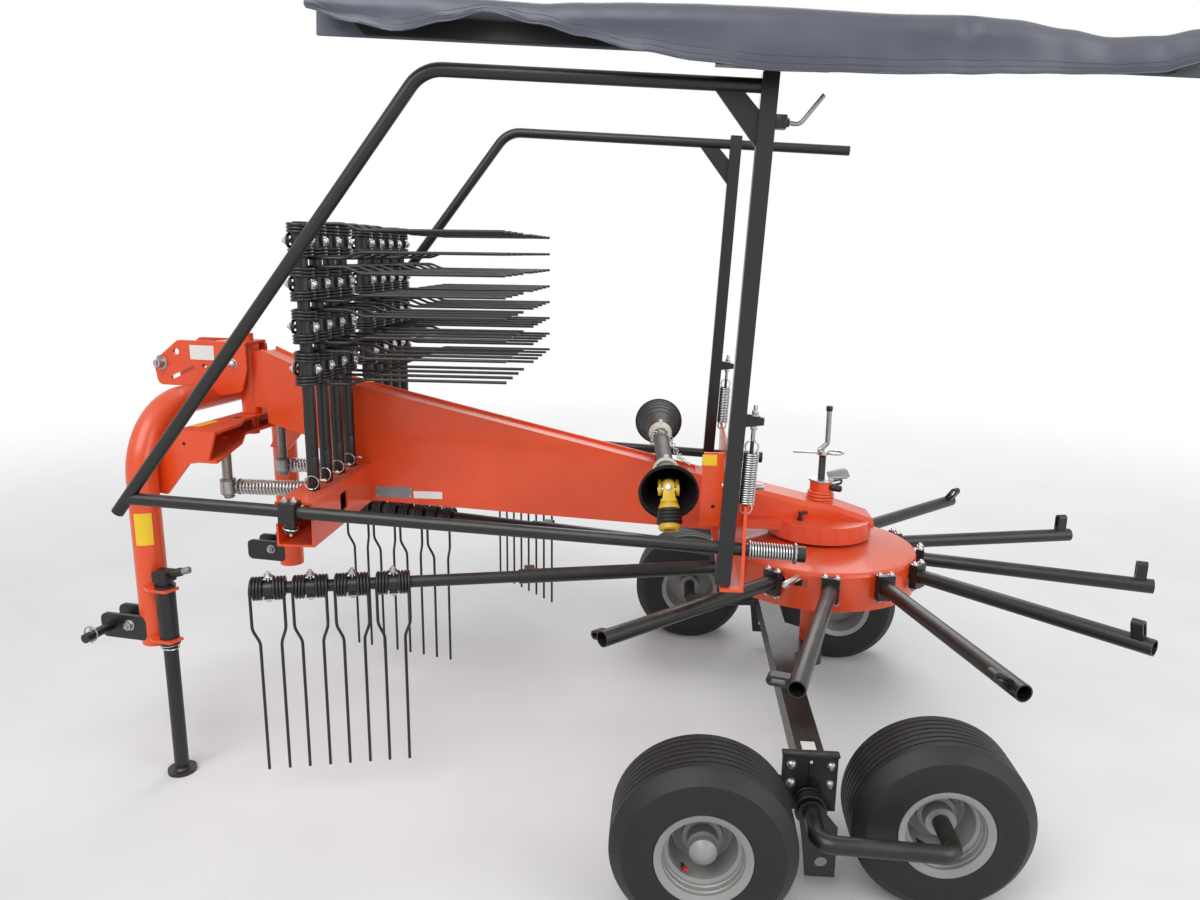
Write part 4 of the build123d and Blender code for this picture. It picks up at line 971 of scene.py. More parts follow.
@dataclass
class Rotor:
    """The rotor's arms, three of them fitted with their tines."""

    arms: int = 12
    arm_z: float = 0.657
    arm_offset: float = 0.080
    reach: float = sqrt(0.972**2 - 0.080**2)
    first_arm: float = radians(14.08)
    insert: float = 0.100
    fitted: tuple[int, ...] = (5, 6, 4)

    def arm(self, slot: int) -> Matrix:
        """A rotor arm's axes at its foot.

        Args:
            slot: the arm's number.

        Returns:
            Its axes: Z outwards along it, X down.
        """
        heading = self.first_arm + slot * tau / self.arms
        foot = at(-self.arm_offset * sin(heading), self.arm_offset * cos(heading), self.arm_z)
        out = Vector((cos(heading), sin(heading), 0.0))
        axes = Matrix((-UP, out.cross(-UP), out)).transposed().to_4x4()
        return Matrix.Translation(foot) @ axes

    def build(self, tine: DoubleTine) -> None:
        """Builds the fitted tines.

        Args:
            tine: the double tine.
        """
        step = Matrix.Translation((0.0, 0.0, self.reach - self.insert))
        places = [self.arm(slot) @ step for slot in self.fitted]
        TineArms("fitted_tine", "fitted_tines", "rotor", places).build(tine)


@dataclass
class Racks:
    """The stored tine arms."""

    arm_x: float = -1.496
    pitch: float = 0.100
    foot_z: float = 0.8113
    counts: tuple[tuple[str, int, int], ...] = (("left", -1, 4), ("right", 1, 5))

    def places(self, side: int, count: int, height: float) -> list[Matrix]:
        """The axes of one rack's arms at a height."""
        stations = [side * self.pitch * (n + 1) for n in range(count)]
        return [Matrix.Translation(at(self.arm_x, y, height)) for y in stations]

    def build(self, tine: DoubleTine) -> None:
        """Builds the racked tines.

        Args:
            tine: the double tine.
        """
        for name, side, count in self.counts:
            places = self.places(side, count, self.foot_z)
            TineArms(f"racked_tine_{name}", f"racked_tines_{name}", "chassis", places).build(tine)


# Wheels


@dataclass
class Tyre:
    """A ribbed tyre, turned from its section."""

    radius: float = 0.225
    half: float = 0.1075
    rim: float = 0.117
    rib_edge: float = 0.0695
    grooves: int = 6
    groove: float = 0.0052
    depth: float = 0.0085
    edge: float = 0.0012

    def section(self) -> Outline:
        """Radius and station of the section's points, from one bead to the other.

        Returns:
            The section.
        """
        rim, radius = self.rim, self.radius
        side = [
            (rim - 0.012, -0.095), (rim + 0.002, -0.1035), (rim + 0.004, -0.1045),
            (rim + 0.010, -0.1040), (rim + 0.020, -0.1042), (rim + 0.034, -0.1064),
            (rim + 0.055, -self.half), (rim + 0.060, -0.1072), (rim + 0.064, -0.1074),
            (rim + 0.076, -0.1046), (radius - 0.022, -0.0955), (radius - 0.012, -0.0850),
            (radius - 0.004, -0.0760), (radius - 0.001, -0.0715),
        ]
        tread = []
        pitch, half, edge = 2 * self.rib_edge / (self.grooves + 1), self.groove / 2, self.edge
        for n in range(self.grooves):
            middle = -self.rib_edge + pitch * (n + 1)
            crown = radius - 0.0006 * abs(middle) / self.rib_edge
            wall = [(crown, half + edge), (crown - edge, half), (crown - self.depth, half * 0.6)]
            tread += [(r, middle - z) for r, z in wall] + [(r, middle + z) for r, z in wall[::-1]]
        return (*side, *tread, *[(r, -z) for r, z in reversed(side)])

    def build(self, name: str, centre: Point) -> None:
        """Turns the tyre about its axle.

        Args:
            name: the wheel it belongs to.
            centre: the wheel's centre.
        """
        shape = Shape().lathe(aim(centre, ACROSS), self.section(), 96)
        piece = shape.finish(f"ribbed_tyre_{name}", TYRE, f"wheel_{name}", 28.0)
        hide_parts(f"tyre_{name}")


@dataclass
class Undercarriage:
    """The four wheels with their tyres, discs, caps and valves."""

    wheel_z: float = 0.225
    nose_from: float = 0.056
    valve: tuple[Point, Point] = ((-0.048, 0.026, -0.068), (-0.041, 0.056, -0.059))
    wheels: tuple[tuple[str, float, float, int, int], ...] = (
        # name, station, side, which way its outer face looks, which way its closed hub end looks
        ("front_left", -0.380, -0.870, -1, -1),
        ("front_right", -0.380, 0.870, 1, 1),
        ("rear_left", 0.215, -0.721, -1, 1),
        ("rear_right", 0.215, 0.721, 1, -1),
    )
    nose: Outline = (
        (0.0336, 0.0), (0.0340, 0.004), (0.0332, 0.017), (0.0300, 0.0195), (0.0200, 0.028),
        (0.0100, 0.032), (0.0, 0.033),
    )
    hub_ring: Outline = (
        (0.0370, -0.006), (0.0640, -0.006), (0.0640, 0.001), (0.0600, 0.0035), (0.0520, 0.0060),
        (0.0500, 0.0150), (0.0440, 0.0175), (0.0370, 0.0175),
    )
    barrel: Outline = (
        (0.1170, 0.0980), (0.1163, 0.1056), (0.1105, 0.1036), (0.1020, 0.0995), (0.0985, 0.0975),
        (0.0978, 0.0880), (0.0955, 0.0850), (0.0950, 0.0720), (0.0925, 0.0690), (0.0920, 0.0620),
        (0.0835, 0.0580), (0.0815, 0.0520), (0.0810, 0.0200), (0.0780, 0.0120), (0.0740, -0.0040),
        (0.0900, -0.0040), (0.0900, 0.0560), (0.1030, 0.0640), (0.1050, 0.0960),
    )

    def build(self) -> None:
        """Builds the four wheels."""
        for name, x, y, outward, cap in self.wheels:
            centre = Vector((x, y, self.wheel_z))
            Tyre().build(name, centre)
            self.hub(name, centre, outward, cap)

    def hub(self, name: str, centre: Vector, outward: int, cap: int) -> None:
        """The hub's nose, the disc's pressed steps and the valve of one wheel.

        Args:
            name: the wheel.
            centre: its centre.
            outward: which way its outer face looks along Y.
            cap: which way its closed hub end looks along Y.
        """
        body, way = f"wheel_{name}", ACROSS * cap
        nose = Shape().lathe(aim(centre + way * self.nose_from, way), self.nose, 36, False)
        nose.finish(f"hub_cap_{name}", DISC, body)
        outer = aim(centre, ACROSS * outward)
        disc = Shape().lathe(outer, self.hub_ring, 40).lathe(outer, self.barrel, 64)
        disc.finish(f"pressed_disc_{name}", DISC, body, 30.0)
        foot, tip = [centre + Vector((x, outward * y, z)) for x, y, z in self.valve]
        Shape().rod(foot, tip, 0.0045, 12, 0.0008).finish(f"valve_stem_{name}", BLACK, body)
        way = (tip - foot).normalized()
        top = Shape().rod(tip - way * 0.006, tip + way * 0.011, 0.0062, 14, 0.0014)
        top.finish(f"valve_cap_{name}", RED_PLASTIC if name == "front_left" else PLASTIC, body)


# Springs


@dataclass
class SteeringStruts:
    """The compression springs on the two steering struts."""

    radius: float = 0.025
    wire: float = 0.0039
    pitch: float = 0.0112
    keep: float = 0.77
    seat: Outline = washer(0.0090, 0.0255, 0.0040, 0.0007, 0.0008)
    far_gaps: tuple[tuple[str, float], ...] = (("left", 0.0), ("right", 0.012))

    def build(self) -> None:
        """Winds both springs, and gives the left one a mesh of its own."""
        for name, gap in self.far_gaps:
            low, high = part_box(f"strut_spring_{name}")
            y, z = (low.y + high.y) / 2, (low.z + high.z) / 2
            start, end = Vector((low.x, y, z)), Vector((high.x - gap, y, z))
            turns = (end.x - start.x) / self.pitch
            shape = Shape(MODEL).coil(start, end, self.radius, self.wire, turns)
            piece = shape.finish(f"strut_coil_{name}", BRIGHT, f"strut_{name}", 60.0)
            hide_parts(f"strut_spring_{name}")
            if name == "left":
                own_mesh(piece)
            seat = Shape(MODEL).lathe(aim(start - ALONG * 0.004, ALONG), self.seat, 28)
            seat.finish(f"strut_washer_{name}", ZINC, f"strut_{name}")


# Curtain


@dataclass
class Curtain:
    """The coated cloth that hangs over its bar on the left guard."""

    front: float = -1.070
    rear: float = 0.995
    inner: float = 0.0317
    inner_foot: float = 1.186
    across: int = 150
    down: int = 34
    thick: float = 0.0022
    seams: tuple[tuple[str, float, float], ...] = (
        # name, how far down the cloth, radius
        ("curtain_hem_cord", 0.998, 0.0026),
        ("curtain_hem_seam", 0.945, 0.0012),
        ("curtain_upper_seam", 0.895, 0.0012),
    )
    stations: tuple[tuple[float, float, float, float], ...] = (
        # place along the hinge, crown height, hem height, hem distance
        (-1.070, 1.272, 1.232, 0.104),
        (-0.960, 1.276, 1.204, 0.116),
        (-0.853, 1.278, 1.187, 0.122),
        (-0.740, 1.275, 1.214, 0.116),
        (-0.650, 1.270, 1.238, 0.108),
        (-0.534, 1.267, 1.218, 0.112),
        (-0.436, 1.272, 1.196, 0.118),
        (-0.301, 1.277, 1.171, 0.122),
        (-0.168, 1.280, 1.156, 0.122),
        (-0.013, 1.281, 1.144, 0.120),
        (0.250, 1.278, 1.150, 0.116),
        (0.399, 1.281, 1.156, 0.120),
        (0.498, 1.277, 1.162, 0.118),
        (0.620, 1.264, 1.170, 0.104),
        (0.714, 1.254, 1.176, 0.088),
        (0.817, 1.260, 1.182, 0.096),
        (0.900, 1.276, 1.204, 0.114),
        (0.995, 1.279, 1.222, 0.120),
    )

    def station(self, u: float) -> tuple[float, ...]:
        """Eases between the stations.

        Args:
            u: place along the bar.

        Returns:
            Crown height, hem height and hem distance there.
        """
        for (u0, *low), (u1, *high) in zip(self.stations, self.stations[1:]):
            if u <= u1:
                t = max(0.0, (u - u0) / (u1 - u0))
                t = t * t * (3 - 2 * t)
                return tuple(a + (b - a) * t for a, b in zip(low, high))
        return self.stations[-1][1:]

    def section(self, u: float, v: float) -> Plan:
        """The cloth's line from its inner edge over the bar to its hem.

        Args:
            u: place along the bar.
            v: 0 at the inner edge, 1 at the hem.

        Returns:
            How far out from the guard's plane, and how high up the post.
        """
        crown, hem, out = self.station(u)
        width = out - self.inner
        spring = crown - min(0.045, width / 2)
        inner = spring - self.inner_foot
        drop = spring - hem
        arch = pi / 2 * (width / 2 + crown - spring)
        along = v * (inner + arch + drop)
        if along <= inner:
            return self.inner, self.inner_foot + along
        if along <= inner + arch:
            a = pi * (along - inner) / arch
            return self.inner + width / 2 * (1 - cos(a)), spring + (crown - spring) * sin(a)
        t = (along - inner - arch) / drop
        sway = 0.006 * sin(pi * t) * sin(u * 9.0 + 1.0)
        return out + sway - 0.004 * t, spring - t * drop

    def ripple(self, u: float, v: float) -> float:
        """How far the cloth waves out, more so towards the hem."""
        wave = 0.0022 * sin(u * 31.0 + v * 4.0) + 0.0016 * sin(u * 57.0 - v * 9.0 + 2.0)
        return wave * max(0.0, v - 0.45) * 1.6

    def build(self) -> None:
        """Hangs the cloth, folds its crease and sews its hem."""
        shape, place = Shape(MODEL), guard_place(-1)
        made = bmesh.ops.create_grid(
            shape.mesh, x_segments=self.across, y_segments=self.down, size=0.5
        )
        for vert in made["verts"]:
            u = self.front + (vert.co.x + 0.5) * (self.rear - self.front)
            v = vert.co.y + 0.5
            out, w = self.section(u, v)
            crease = 0.012 * hump(u, 0.405, 0.035) * hump(v, 0.62, 0.16)
            vert.co = place @ Vector((u, out - crease + self.ripple(u, v), w))
        piece = shape.finish("curtain_cloth", CURTAIN_WITH_SHEEN, "guard_left", 60.0)
        skin = piece.modifiers.new("skin", "SOLIDIFY")
        skin.thickness = self.thick
        skin.offset = 0.0
        smooth = piece.modifiers.new("smooth", "SUBSURF")
        smooth.levels = smooth.render_levels = 1
        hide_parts("curtain")
        seams = [self.seam(*row) for row in self.seams]

    def seam(self, name: str, v: float, radius: float) -> bpy.types.Object:
        """A line sewn along the cloth.

        Args:
            name: the piece's name.
            v: how far down the cloth it runs.
            radius: its thickness.

        Returns:
            The seam's object.
        """
        shape, place, points = Shape(MODEL), guard_place(-1), []
        steps, margin, proud = 80, 0.004, 0.0008
        for n in range(steps + 1):
            u = self.front + margin + (self.rear - self.front - 2 * margin) * n / steps
            out, w = self.section(u, v)
            points.append(place @ Vector((u, out + self.ripple(u, v) + proud, w)))
        wire = Wire(shape, points[0], points[1] - points[0], radius, 6)
        for point in points[1:]:
            wire.feed(point)
        return shape.finish(name, CURTAIN_WITH_SHEEN, "guard_left", 60.0)


def hump(value: float, middle: float, half: float) -> float:
    """A smooth hump of height 1 round a middle."""
    t = min(1.0, abs(value - middle) / half)
    return (1 - t * t) ** 2


# Trim on the headstock and its stand


@dataclass
class HeadTrim:
    """Bolts, pins and blank labels on the headstock."""

    ear_face: float = 0.060
    ear_bolt: Plan = (-0.019, 1.240)
    link_pin: Plan = (-0.282, 1.234)
    link_pin_radius: float = 0.0132
    link_pin_end: float = 0.086
    clip_y: float = 0.070
    strut_pin_y: float = 0.155
    strut_eye: Plan = (0.8414, 0.8826)
    strut_pin_radius: float = 0.0154
    leg: Plan = (-0.130, 0.373)
    leg_face: float = 0.044
    lower_pin: Plan = (-0.255, 0.497)
    gusset_face: float = 0.331
    gusset_holes: tuple[Plan, ...] = ((-0.106, 1.024), (-0.010, 1.035))
    channel_top: float = 1.0745
    proud: float = 0.0003

    def build(self) -> None:
        """Builds the trim of the headstock."""
        self.ears()
        self.strut_pins()
        self.lower_links()
        self.labels()
        self.holes()

    def ears(self) -> None:
        """The dome bolts through the ears and the top link's pin."""
        domes, steel = Shape(HEAD), Shape(HEAD)
        (x, z), y, face, radius = self.link_pin, self.clip_y, self.ear_face, self.link_pin_radius
        straight = HEAD.to_3x3().inverted() @ ALONG
        for side in SIDES:
            spot = (self.ear_bolt[0], side * face, self.ear_bolt[1])
            domes.bolt(spot, ACROSS * side, 0.028, 0.013, 0.0165, True)
            steel.ring(aim((x, side * y, z + 0.004), straight), 0.0195, 0.0018, 24)
        steel.pairs(
            ((x, face, z), (x, self.link_pin_end, z), radius, 28, 0.002),
            ((x, face, z), (x, face + 0.003, z), 0.022, 28, 0.0006),
            ((x, y, z - 0.021), (x, y, z + 0.024), 0.0028, 12),
        )
        steel.rod((x, -0.0498, z), (x, 0.0498, z), radius, 28)
        domes.finish("ear_bolts", BRIGHT, "headstock")
        steel.finish("top_link_pin_steel", ZINC, "headstock")

    def strut_pins(self) -> None:
        """Bare steel over the two upright pins that turn in the struts' eyes."""
        (low, high), y, radius = self.strut_eye, self.strut_pin_y, self.strut_pin_radius
        Shape(HEAD).pairs(
            ((0.0, y, low - 0.0172), (0.0, y, low), radius, 28, 0.001),
            ((0.0, y, high), (0.0, y, 1.0150), radius, 28),
            ((0.0, y, high), (0.0, y, high + 0.004), 0.024, 28, 0.0008),
            ((0.0, y, low - 0.0035), (0.0, y, low), 0.024, 28, 0.0008),
            ((-0.022, y, low - 0.010), (0.022, y, low - 0.010), 0.0025, 10),
        ).finish("strut_pin_steel", SPRING_STEEL, "headstock")

    def lower_links(self) -> None:
        """Bolts through the lower link plates and the pins' linch pins."""
        x, y = self.lower_pin
        bolts = Shape(HEAD).pairs(((x, y, 0.448), (x, y, 0.496), 0.0045, 12, 0.001))
        for side in SIDES:
            for face in SIDES:
                spot = (-0.188, side * (self.leg[1] + face * self.leg_face), 0.478)
                bolts.bolt(spot, ACROSS * side * face, 0.024, 0.012, 0.017)
            bolts.ring(aim((x, side * y, 0.476), ACROSS * side), 0.0225, 0.0022, 24)
        bolts.finish("lower_link_bolts", ZINC, "headstock")

    def labels(self) -> None:
        """Blank labels on the near ear, the near leg and the channel."""
        spot = (-0.129, -self.ear_face - self.proud, 1.272)
        white = Shape(HEAD).block(spot, (0.088, 0.0008, 0.046), 0.0002, 1)
        white.finish("blank_white_labels", WHITE_LABEL, "headstock")
        leg = Matrix.Translation((self.leg[0], -self.leg[1], 0.785))
        leg = leg @ Matrix.Rotation(radians(-96.0), 4, "Z")
        yellow = Shape(HEAD).wrap(leg, self.leg_face + 0.0002, radians(66.0), 0.098)
        spot = (-0.018, -0.218, self.channel_top + self.proud)
        yellow.block(spot, (0.030, 0.096, 0.0008), 0.0002, 1)
        yellow.finish("blank_yellow_labels", YELLOW_LABEL, "headstock")

    def holes(self) -> None:
        """Dark discs that paint the shade inside the drillings in the near and far gussets and in
        the channel's top.
        """
        low, high = self.gusset_face - 0.001, self.gusset_face + 0.0004
        rows = [((x, low, z), (x, high, z), 0.0055, 18) for x, z in self.gusset_holes]
        top = self.channel_top
        dark = Shape(HEAD).pairs(*rows)
        dark.rod((0.012, -0.100, top - 0.001), (0.012, -0.100, top + 0.0004), 0.013, 18)
        dark.finish("headstock_hole_shade", BAR, "headstock")


@dataclass
class StandTrim:
    """The stand's sleeve, clip, cap and lever."""

    place: Matrix = HEAD @ Matrix.Translation((-0.060, -0.405, 0.0))
    tube: float = 0.021
    sleeve: float = 0.027
    low: float = 0.440
    high: float = 0.609
    top: float = 0.650

    def build(self) -> None:
        """Builds the trim of the parking stand."""
        bore, top, rim = self.tube + 0.0006, self.top, 0.0085
        walls = self.sleeve - 0.002, self.sleeve + 0.0006
        outline = tube(*walls, self.low + rim, self.high - rim)
        sleeve = Shape(self.place).lathe((0.0, 0.0, 0.0), outline, 36)
        for z in (self.low - 0.006, self.high + 0.005):
            sleeve.lathe((0.0, 0.0, z), tube(bore, 0.030, -0.005, 0.003))
        sleeve.finish("stand_sleeve", BLACK, "headstock")
        clip = Shape(self.place)
        for z, lean in ((0.418, 0.12), (0.426, -0.08)):
            clip.ring(aim((0.0, 0.0, z), UP + ALONG * lean), self.tube + 0.0042, 0.0019, 32)
        clip.finish("stand_clip", BRIGHT, "headstock")
        cap = Shape(self.place).block((0.0, 0.0, top - 0.006), (0.050, 0.050, 0.036), 0.004)
        cap.rod((0.018, 0.0, top), (0.058, 0.010, top + 0.010), 0.013, 20, 0.004)
        cap.finish("stand_cap", PLASTIC, "stand")
        lever = Shape(self.place)
        lever.rod((0.054, 0.009, top + 0.009), (0.080, 0.0155, top + 0.0155), 0.0105, 18, 0.003)
        lever.finish("stand_lever_end", GREY_PLATE, "stand")
        outline = ((self.tube - 0.001, 0.0), (self.tube + 0.006, 0.0), (self.tube + 0.001, 0.006),
                   (self.tube - 0.001, 0.006))
        foot = Shape(self.place).lathe((0.0, 0.0, 0.012), outline)
        foot.finish("stand_foot_weld", BLACK, "stand")


# Trim on the guards


@dataclass
class GuardTrim:
    """Springs, clamps and the telescope's crank on the folded guards."""

    spring_u: float = 0.042
    spring_w: Plan = (0.121, 0.262)
    spring_radius: float = 0.0205
    spring_wire: float = 0.0023
    spring_turns: float = 22.5
    lug_w: float = 0.345
    hinge_u: Plan = (0.064, 0.176)
    hinge_radius: float = 0.0228
    hinge_wire: float = 0.0021
    hinge_turns: float = 15.0
    bore: float = 0.0173
    clamp_w: float = 1.053

    def build(self) -> None:
        """Builds both guards' springs, then the crank on the left one."""
        for name, side in (("left", -1), ("right", 1)):
            self.lock_spring(name, side)
            self.hinge_spring(name, side)
        self.crank()

    def lock_spring(self, name: str, side: int) -> None:
        """The upright tension spring with its hooks, eye bolt and nuts.

        Args:
            name: which guard.
            side: -1 for the left guard, 1 for the right one.
        """
        u, wire, (low, high), lug = self.spring_u, self.spring_wire, self.spring_w, self.lug_w
        place = guard_place(side)
        ends = (u, 0.0, low), (u, 0.0, high)
        shape = Shape(place).coil(*ends, self.spring_radius, wire, self.spring_turns)
        for w, reach in ((high + 0.011, 0.0165), (low - 0.009, 0.0150)):
            shape.ring(aim((u, 0.0, w), ACROSS), reach, wire, 26)
        shape.finish(f"lock_spring_{name}", BRIGHT, f"guard_{name}", 60.0)
        stud = Shape(place).rod((u, 0.0, high + 0.026), (u, 0.0, lug + 0.036), 0.0056, 16, 0.001)
        stud.bolt((u, 0.0, lug + 0.009), UP, 0.017, 0.012, 0.014)
        stud.bolt((u, 0.0, lug - 0.020), -UP, 0.017, 0.008)
        stud.finish(f"lock_stud_{name}", ZINC, f"guard_{name}")

    def hinge_spring(self, name: str, side: int) -> None:
        """The compression spring round the hinge tube's rear end and its end ring.

        Args:
            name: which guard.
            side: -1 for the left guard, 1 for the right one.
        """
        (start, end), place = self.hinge_u, guard_place(side)
        ends = (start, 0.0, 0.0), (end, 0.0, 0.0)
        shape = Shape(place).coil(*ends, self.hinge_radius, self.hinge_wire, self.hinge_turns)
        shape.finish(f"hinge_spring_{name}", BRIGHT, f"guard_{name}", 60.0)
        rings = Shape(place)
        for u, thick, radius in ((end, 0.0055, 0.0275), (start - 0.004, 0.0038, 0.0250)):
            outline = washer(self.bore, radius, thick, 0.0006, 0.0006)
            rings.lathe(aim((u, 0.0, 0.0), ALONG), outline, 28)
        rings.finish(f"hinge_rings_{name}", ZINC, f"guard_{name}")

    def crank(self) -> None:
        """The clamp behind the left post that holds the curtain's telescope, with its bent rod."""
        w, place = self.clamp_w, guard_place(-1)
        block = Shape(place).block((0.0330, 0.0, w), (0.028, 0.034, 0.032), 0.003)
        block.rod((0.046, 0.0, w), (0.053, 0.0, w), 0.0105, 6)
        block.finish("telescope_clamp", BLACK, "guard_left")
        points = [(0.040, 0.0, w), (0.078, 0.0, 1.050), (0.127, 0.0, 1.118)]
        rod = Shape(place).bent(points, 0.0055, 0.018, 14)
        rod.finish("telescope_crank", ZINC, "guard_left")


# Trim on the racks and the beam


@dataclass
class RackTrim:
    """Keys, pins and ring clips that hold the stored arms, and the clamps' pins."""

    flange: float = 0.930
    tube: float = 0.0175
    key_high: float = 0.098
    ring: float = 0.0195
    wire: float = 0.0018
    lean: float = radians(-62.0)
    clamp_z: float = 0.8838

    def build(self, racks: Racks) -> None:
        """Builds the clips at each stored arm's foot.

        Args:
            racks: the racks with the arms' places.
        """
        keys, steel = Shape(), Shape()
        for _, side, count in racks.counts:
            for n, place in enumerate(racks.places(side, count, self.flange)):
                keys.place = steel.place = place
                self.clip(keys, steel, n)
        keys.finish("rack_keys", BLACK)
        steel.finish("rack_clips", BRIGHT)
        self.clamps(racks.arm_x)
        tape = Shape().rod((-1.385, -0.2695, 1.230), (-1.352, -0.2695, 1.230), 0.0068, 14, 0.001)
        tape.finish("tine_tape", YELLOW_LABEL)

    def clip(self, keys: Shape, steel: Shape, n: int) -> None:
        """One arm's key, cross pin and ring.

        Args:
            keys: the shape that takes the key.
            steel: the shape that takes the bright pieces.
            n: the arm's number, which turns its ring a little.
        """
        reach = self.tube + 0.0025
        middle = (reach * cos(self.lean), reach * sin(self.lean), self.key_high / 2 + 0.001)
        place = Matrix.Translation(middle) @ Matrix.Rotation(self.lean, 4, "Z")
        keys.block(place, (0.007, 0.014, self.key_high), 0.0015)
        keys.rod((0.008, -0.012, 0.0005), (0.010, -0.030, 0.004), 0.0042, 12, 0.001)
        steel.rod((-0.027, 0.0, 0.026), (0.038, 0.0, 0.026), 0.0040, 14, 0.001)
        steel.rod((0.030, 0.0, 0.026), (0.034, 0.0, 0.026), 0.0075, 18, 0.001)
        place = Matrix.Translation((0.003, -self.tube - 0.0055, 0.024))
        place = place @ Matrix.Rotation(0.24 * sin(2.3 * n), 4, "Z")
        place = place @ Matrix.Rotation(0.16 * sin(1.7 * n + 1.0), 4, "X")
        steel.ring(place @ facing(-ACROSS), self.ring, self.wire, 30)

    def clamps(self, x: float) -> None:
        """The upright pins under the hinge clamps with their spring rings.

        Args:
            x: the clamps' station.
        """
        y, z = GUARD_Y, self.clamp_z
        black = Shape().pairs(((x, y, z), (x, y, z - 0.030), 0.0165, 24, 0.002))
        steel = Shape().pairs(((x, y, z - 0.028), (x, y, z - 0.040), 0.0045, 12, 0.001))
        for side in SIDES:
            steel.ring(aim((x, side * y, z - 0.018), UP + ALONG * 0.2), 0.0195, 0.0020)
            for step in (-0.013, 0.013):
                steel.bolt((x + step, side * y, z + 0.0563), UP, 0.013, 0.006, 0.0095)
        black.finish("clamp_pins", BLACK)
        steel.finish("clamp_rings", BRIGHT)


@dataclass
class BeamTrim:
    """Blank plates on the beam and on the shield, and the shield's lock pin."""

    side: float = -0.060
    shield_side: float = -0.450
    plate: tuple[Plan, Plan] = ((-1.433, 0.816), (-1.312, 0.853))
    tag: tuple[Plan, Plan] = ((-1.306, 0.816), (-1.212, 0.840))
    shield_tag: tuple[Plan, Plan] = ((-0.396, 1.045), (-0.357, 1.075))
    rivet_margin: float = 0.006
    pin_z: float = 0.990

    def build(self) -> None:
        """Builds the plates, their rivets and the lock pin."""
        self.panel(self.plate, self.side, 0.0010).finish("blank_serial_plate", GREY_PLATE)
        self.panel(self.tag, self.side, 0.0006).finish("blank_beam_label", WHITE_LABEL)
        rivets = Shape()
        (x0, z0), (x1, z1) = self.plate
        for x in (x0 + self.rivet_margin, x1 - self.rivet_margin):
            for z in (z0 + self.rivet_margin, z1 - self.rivet_margin):
                rivets.bolt((x, self.side - 0.001, z), -ACROSS, 0.0055, 0.0018, dome=True)
        rivets.finish("plate_rivets", BRIGHT)
        tag = self.panel(self.shield_tag, self.shield_side, 0.0006)
        tag.finish("blank_shield_label", YELLOW_LABEL)
        # A dark disc on the shield paints the shade inside its drilled hole
        y, z = self.shield_side, 0.931
        dark = Shape().rod((-0.363, y + 0.001, z), (-0.363, y - 0.0004, z), 0.0055, 16)
        dark.finish("shield_hole_shade", BAR)
        y, z = self.shield_side + 0.004, self.pin_z
        pin = Shape().rod((-0.342, y, z), (-0.228, y, z), 0.0085, 20, 0.003)
        pin.rod((-0.296, y, z), (-0.276, y, z), 0.0125, 24, 0.002)
        pin.finish("shield_lock_pin", BRIGHT)

    def panel(self, corners: tuple[Plan, Plan], side: float, thick: float) -> Shape:
        """A thin upright plate on a side face.

        Args:
            corners: its lower front and upper rear corners, as station and height.
            side: the face it lies on.
            thick: how far it stands proud.

        Returns:
            The plate's shape.
        """
        (x0, z0), (x1, z1) = corners
        middle = ((x0 + x1) / 2, side - thick / 2 + 0.0001, (z0 + z1) / 2)
        return Shape().block(middle, (x1 - x0, thick, z1 - z0), thick * 0.3, 1)


# Trim on the gearbox


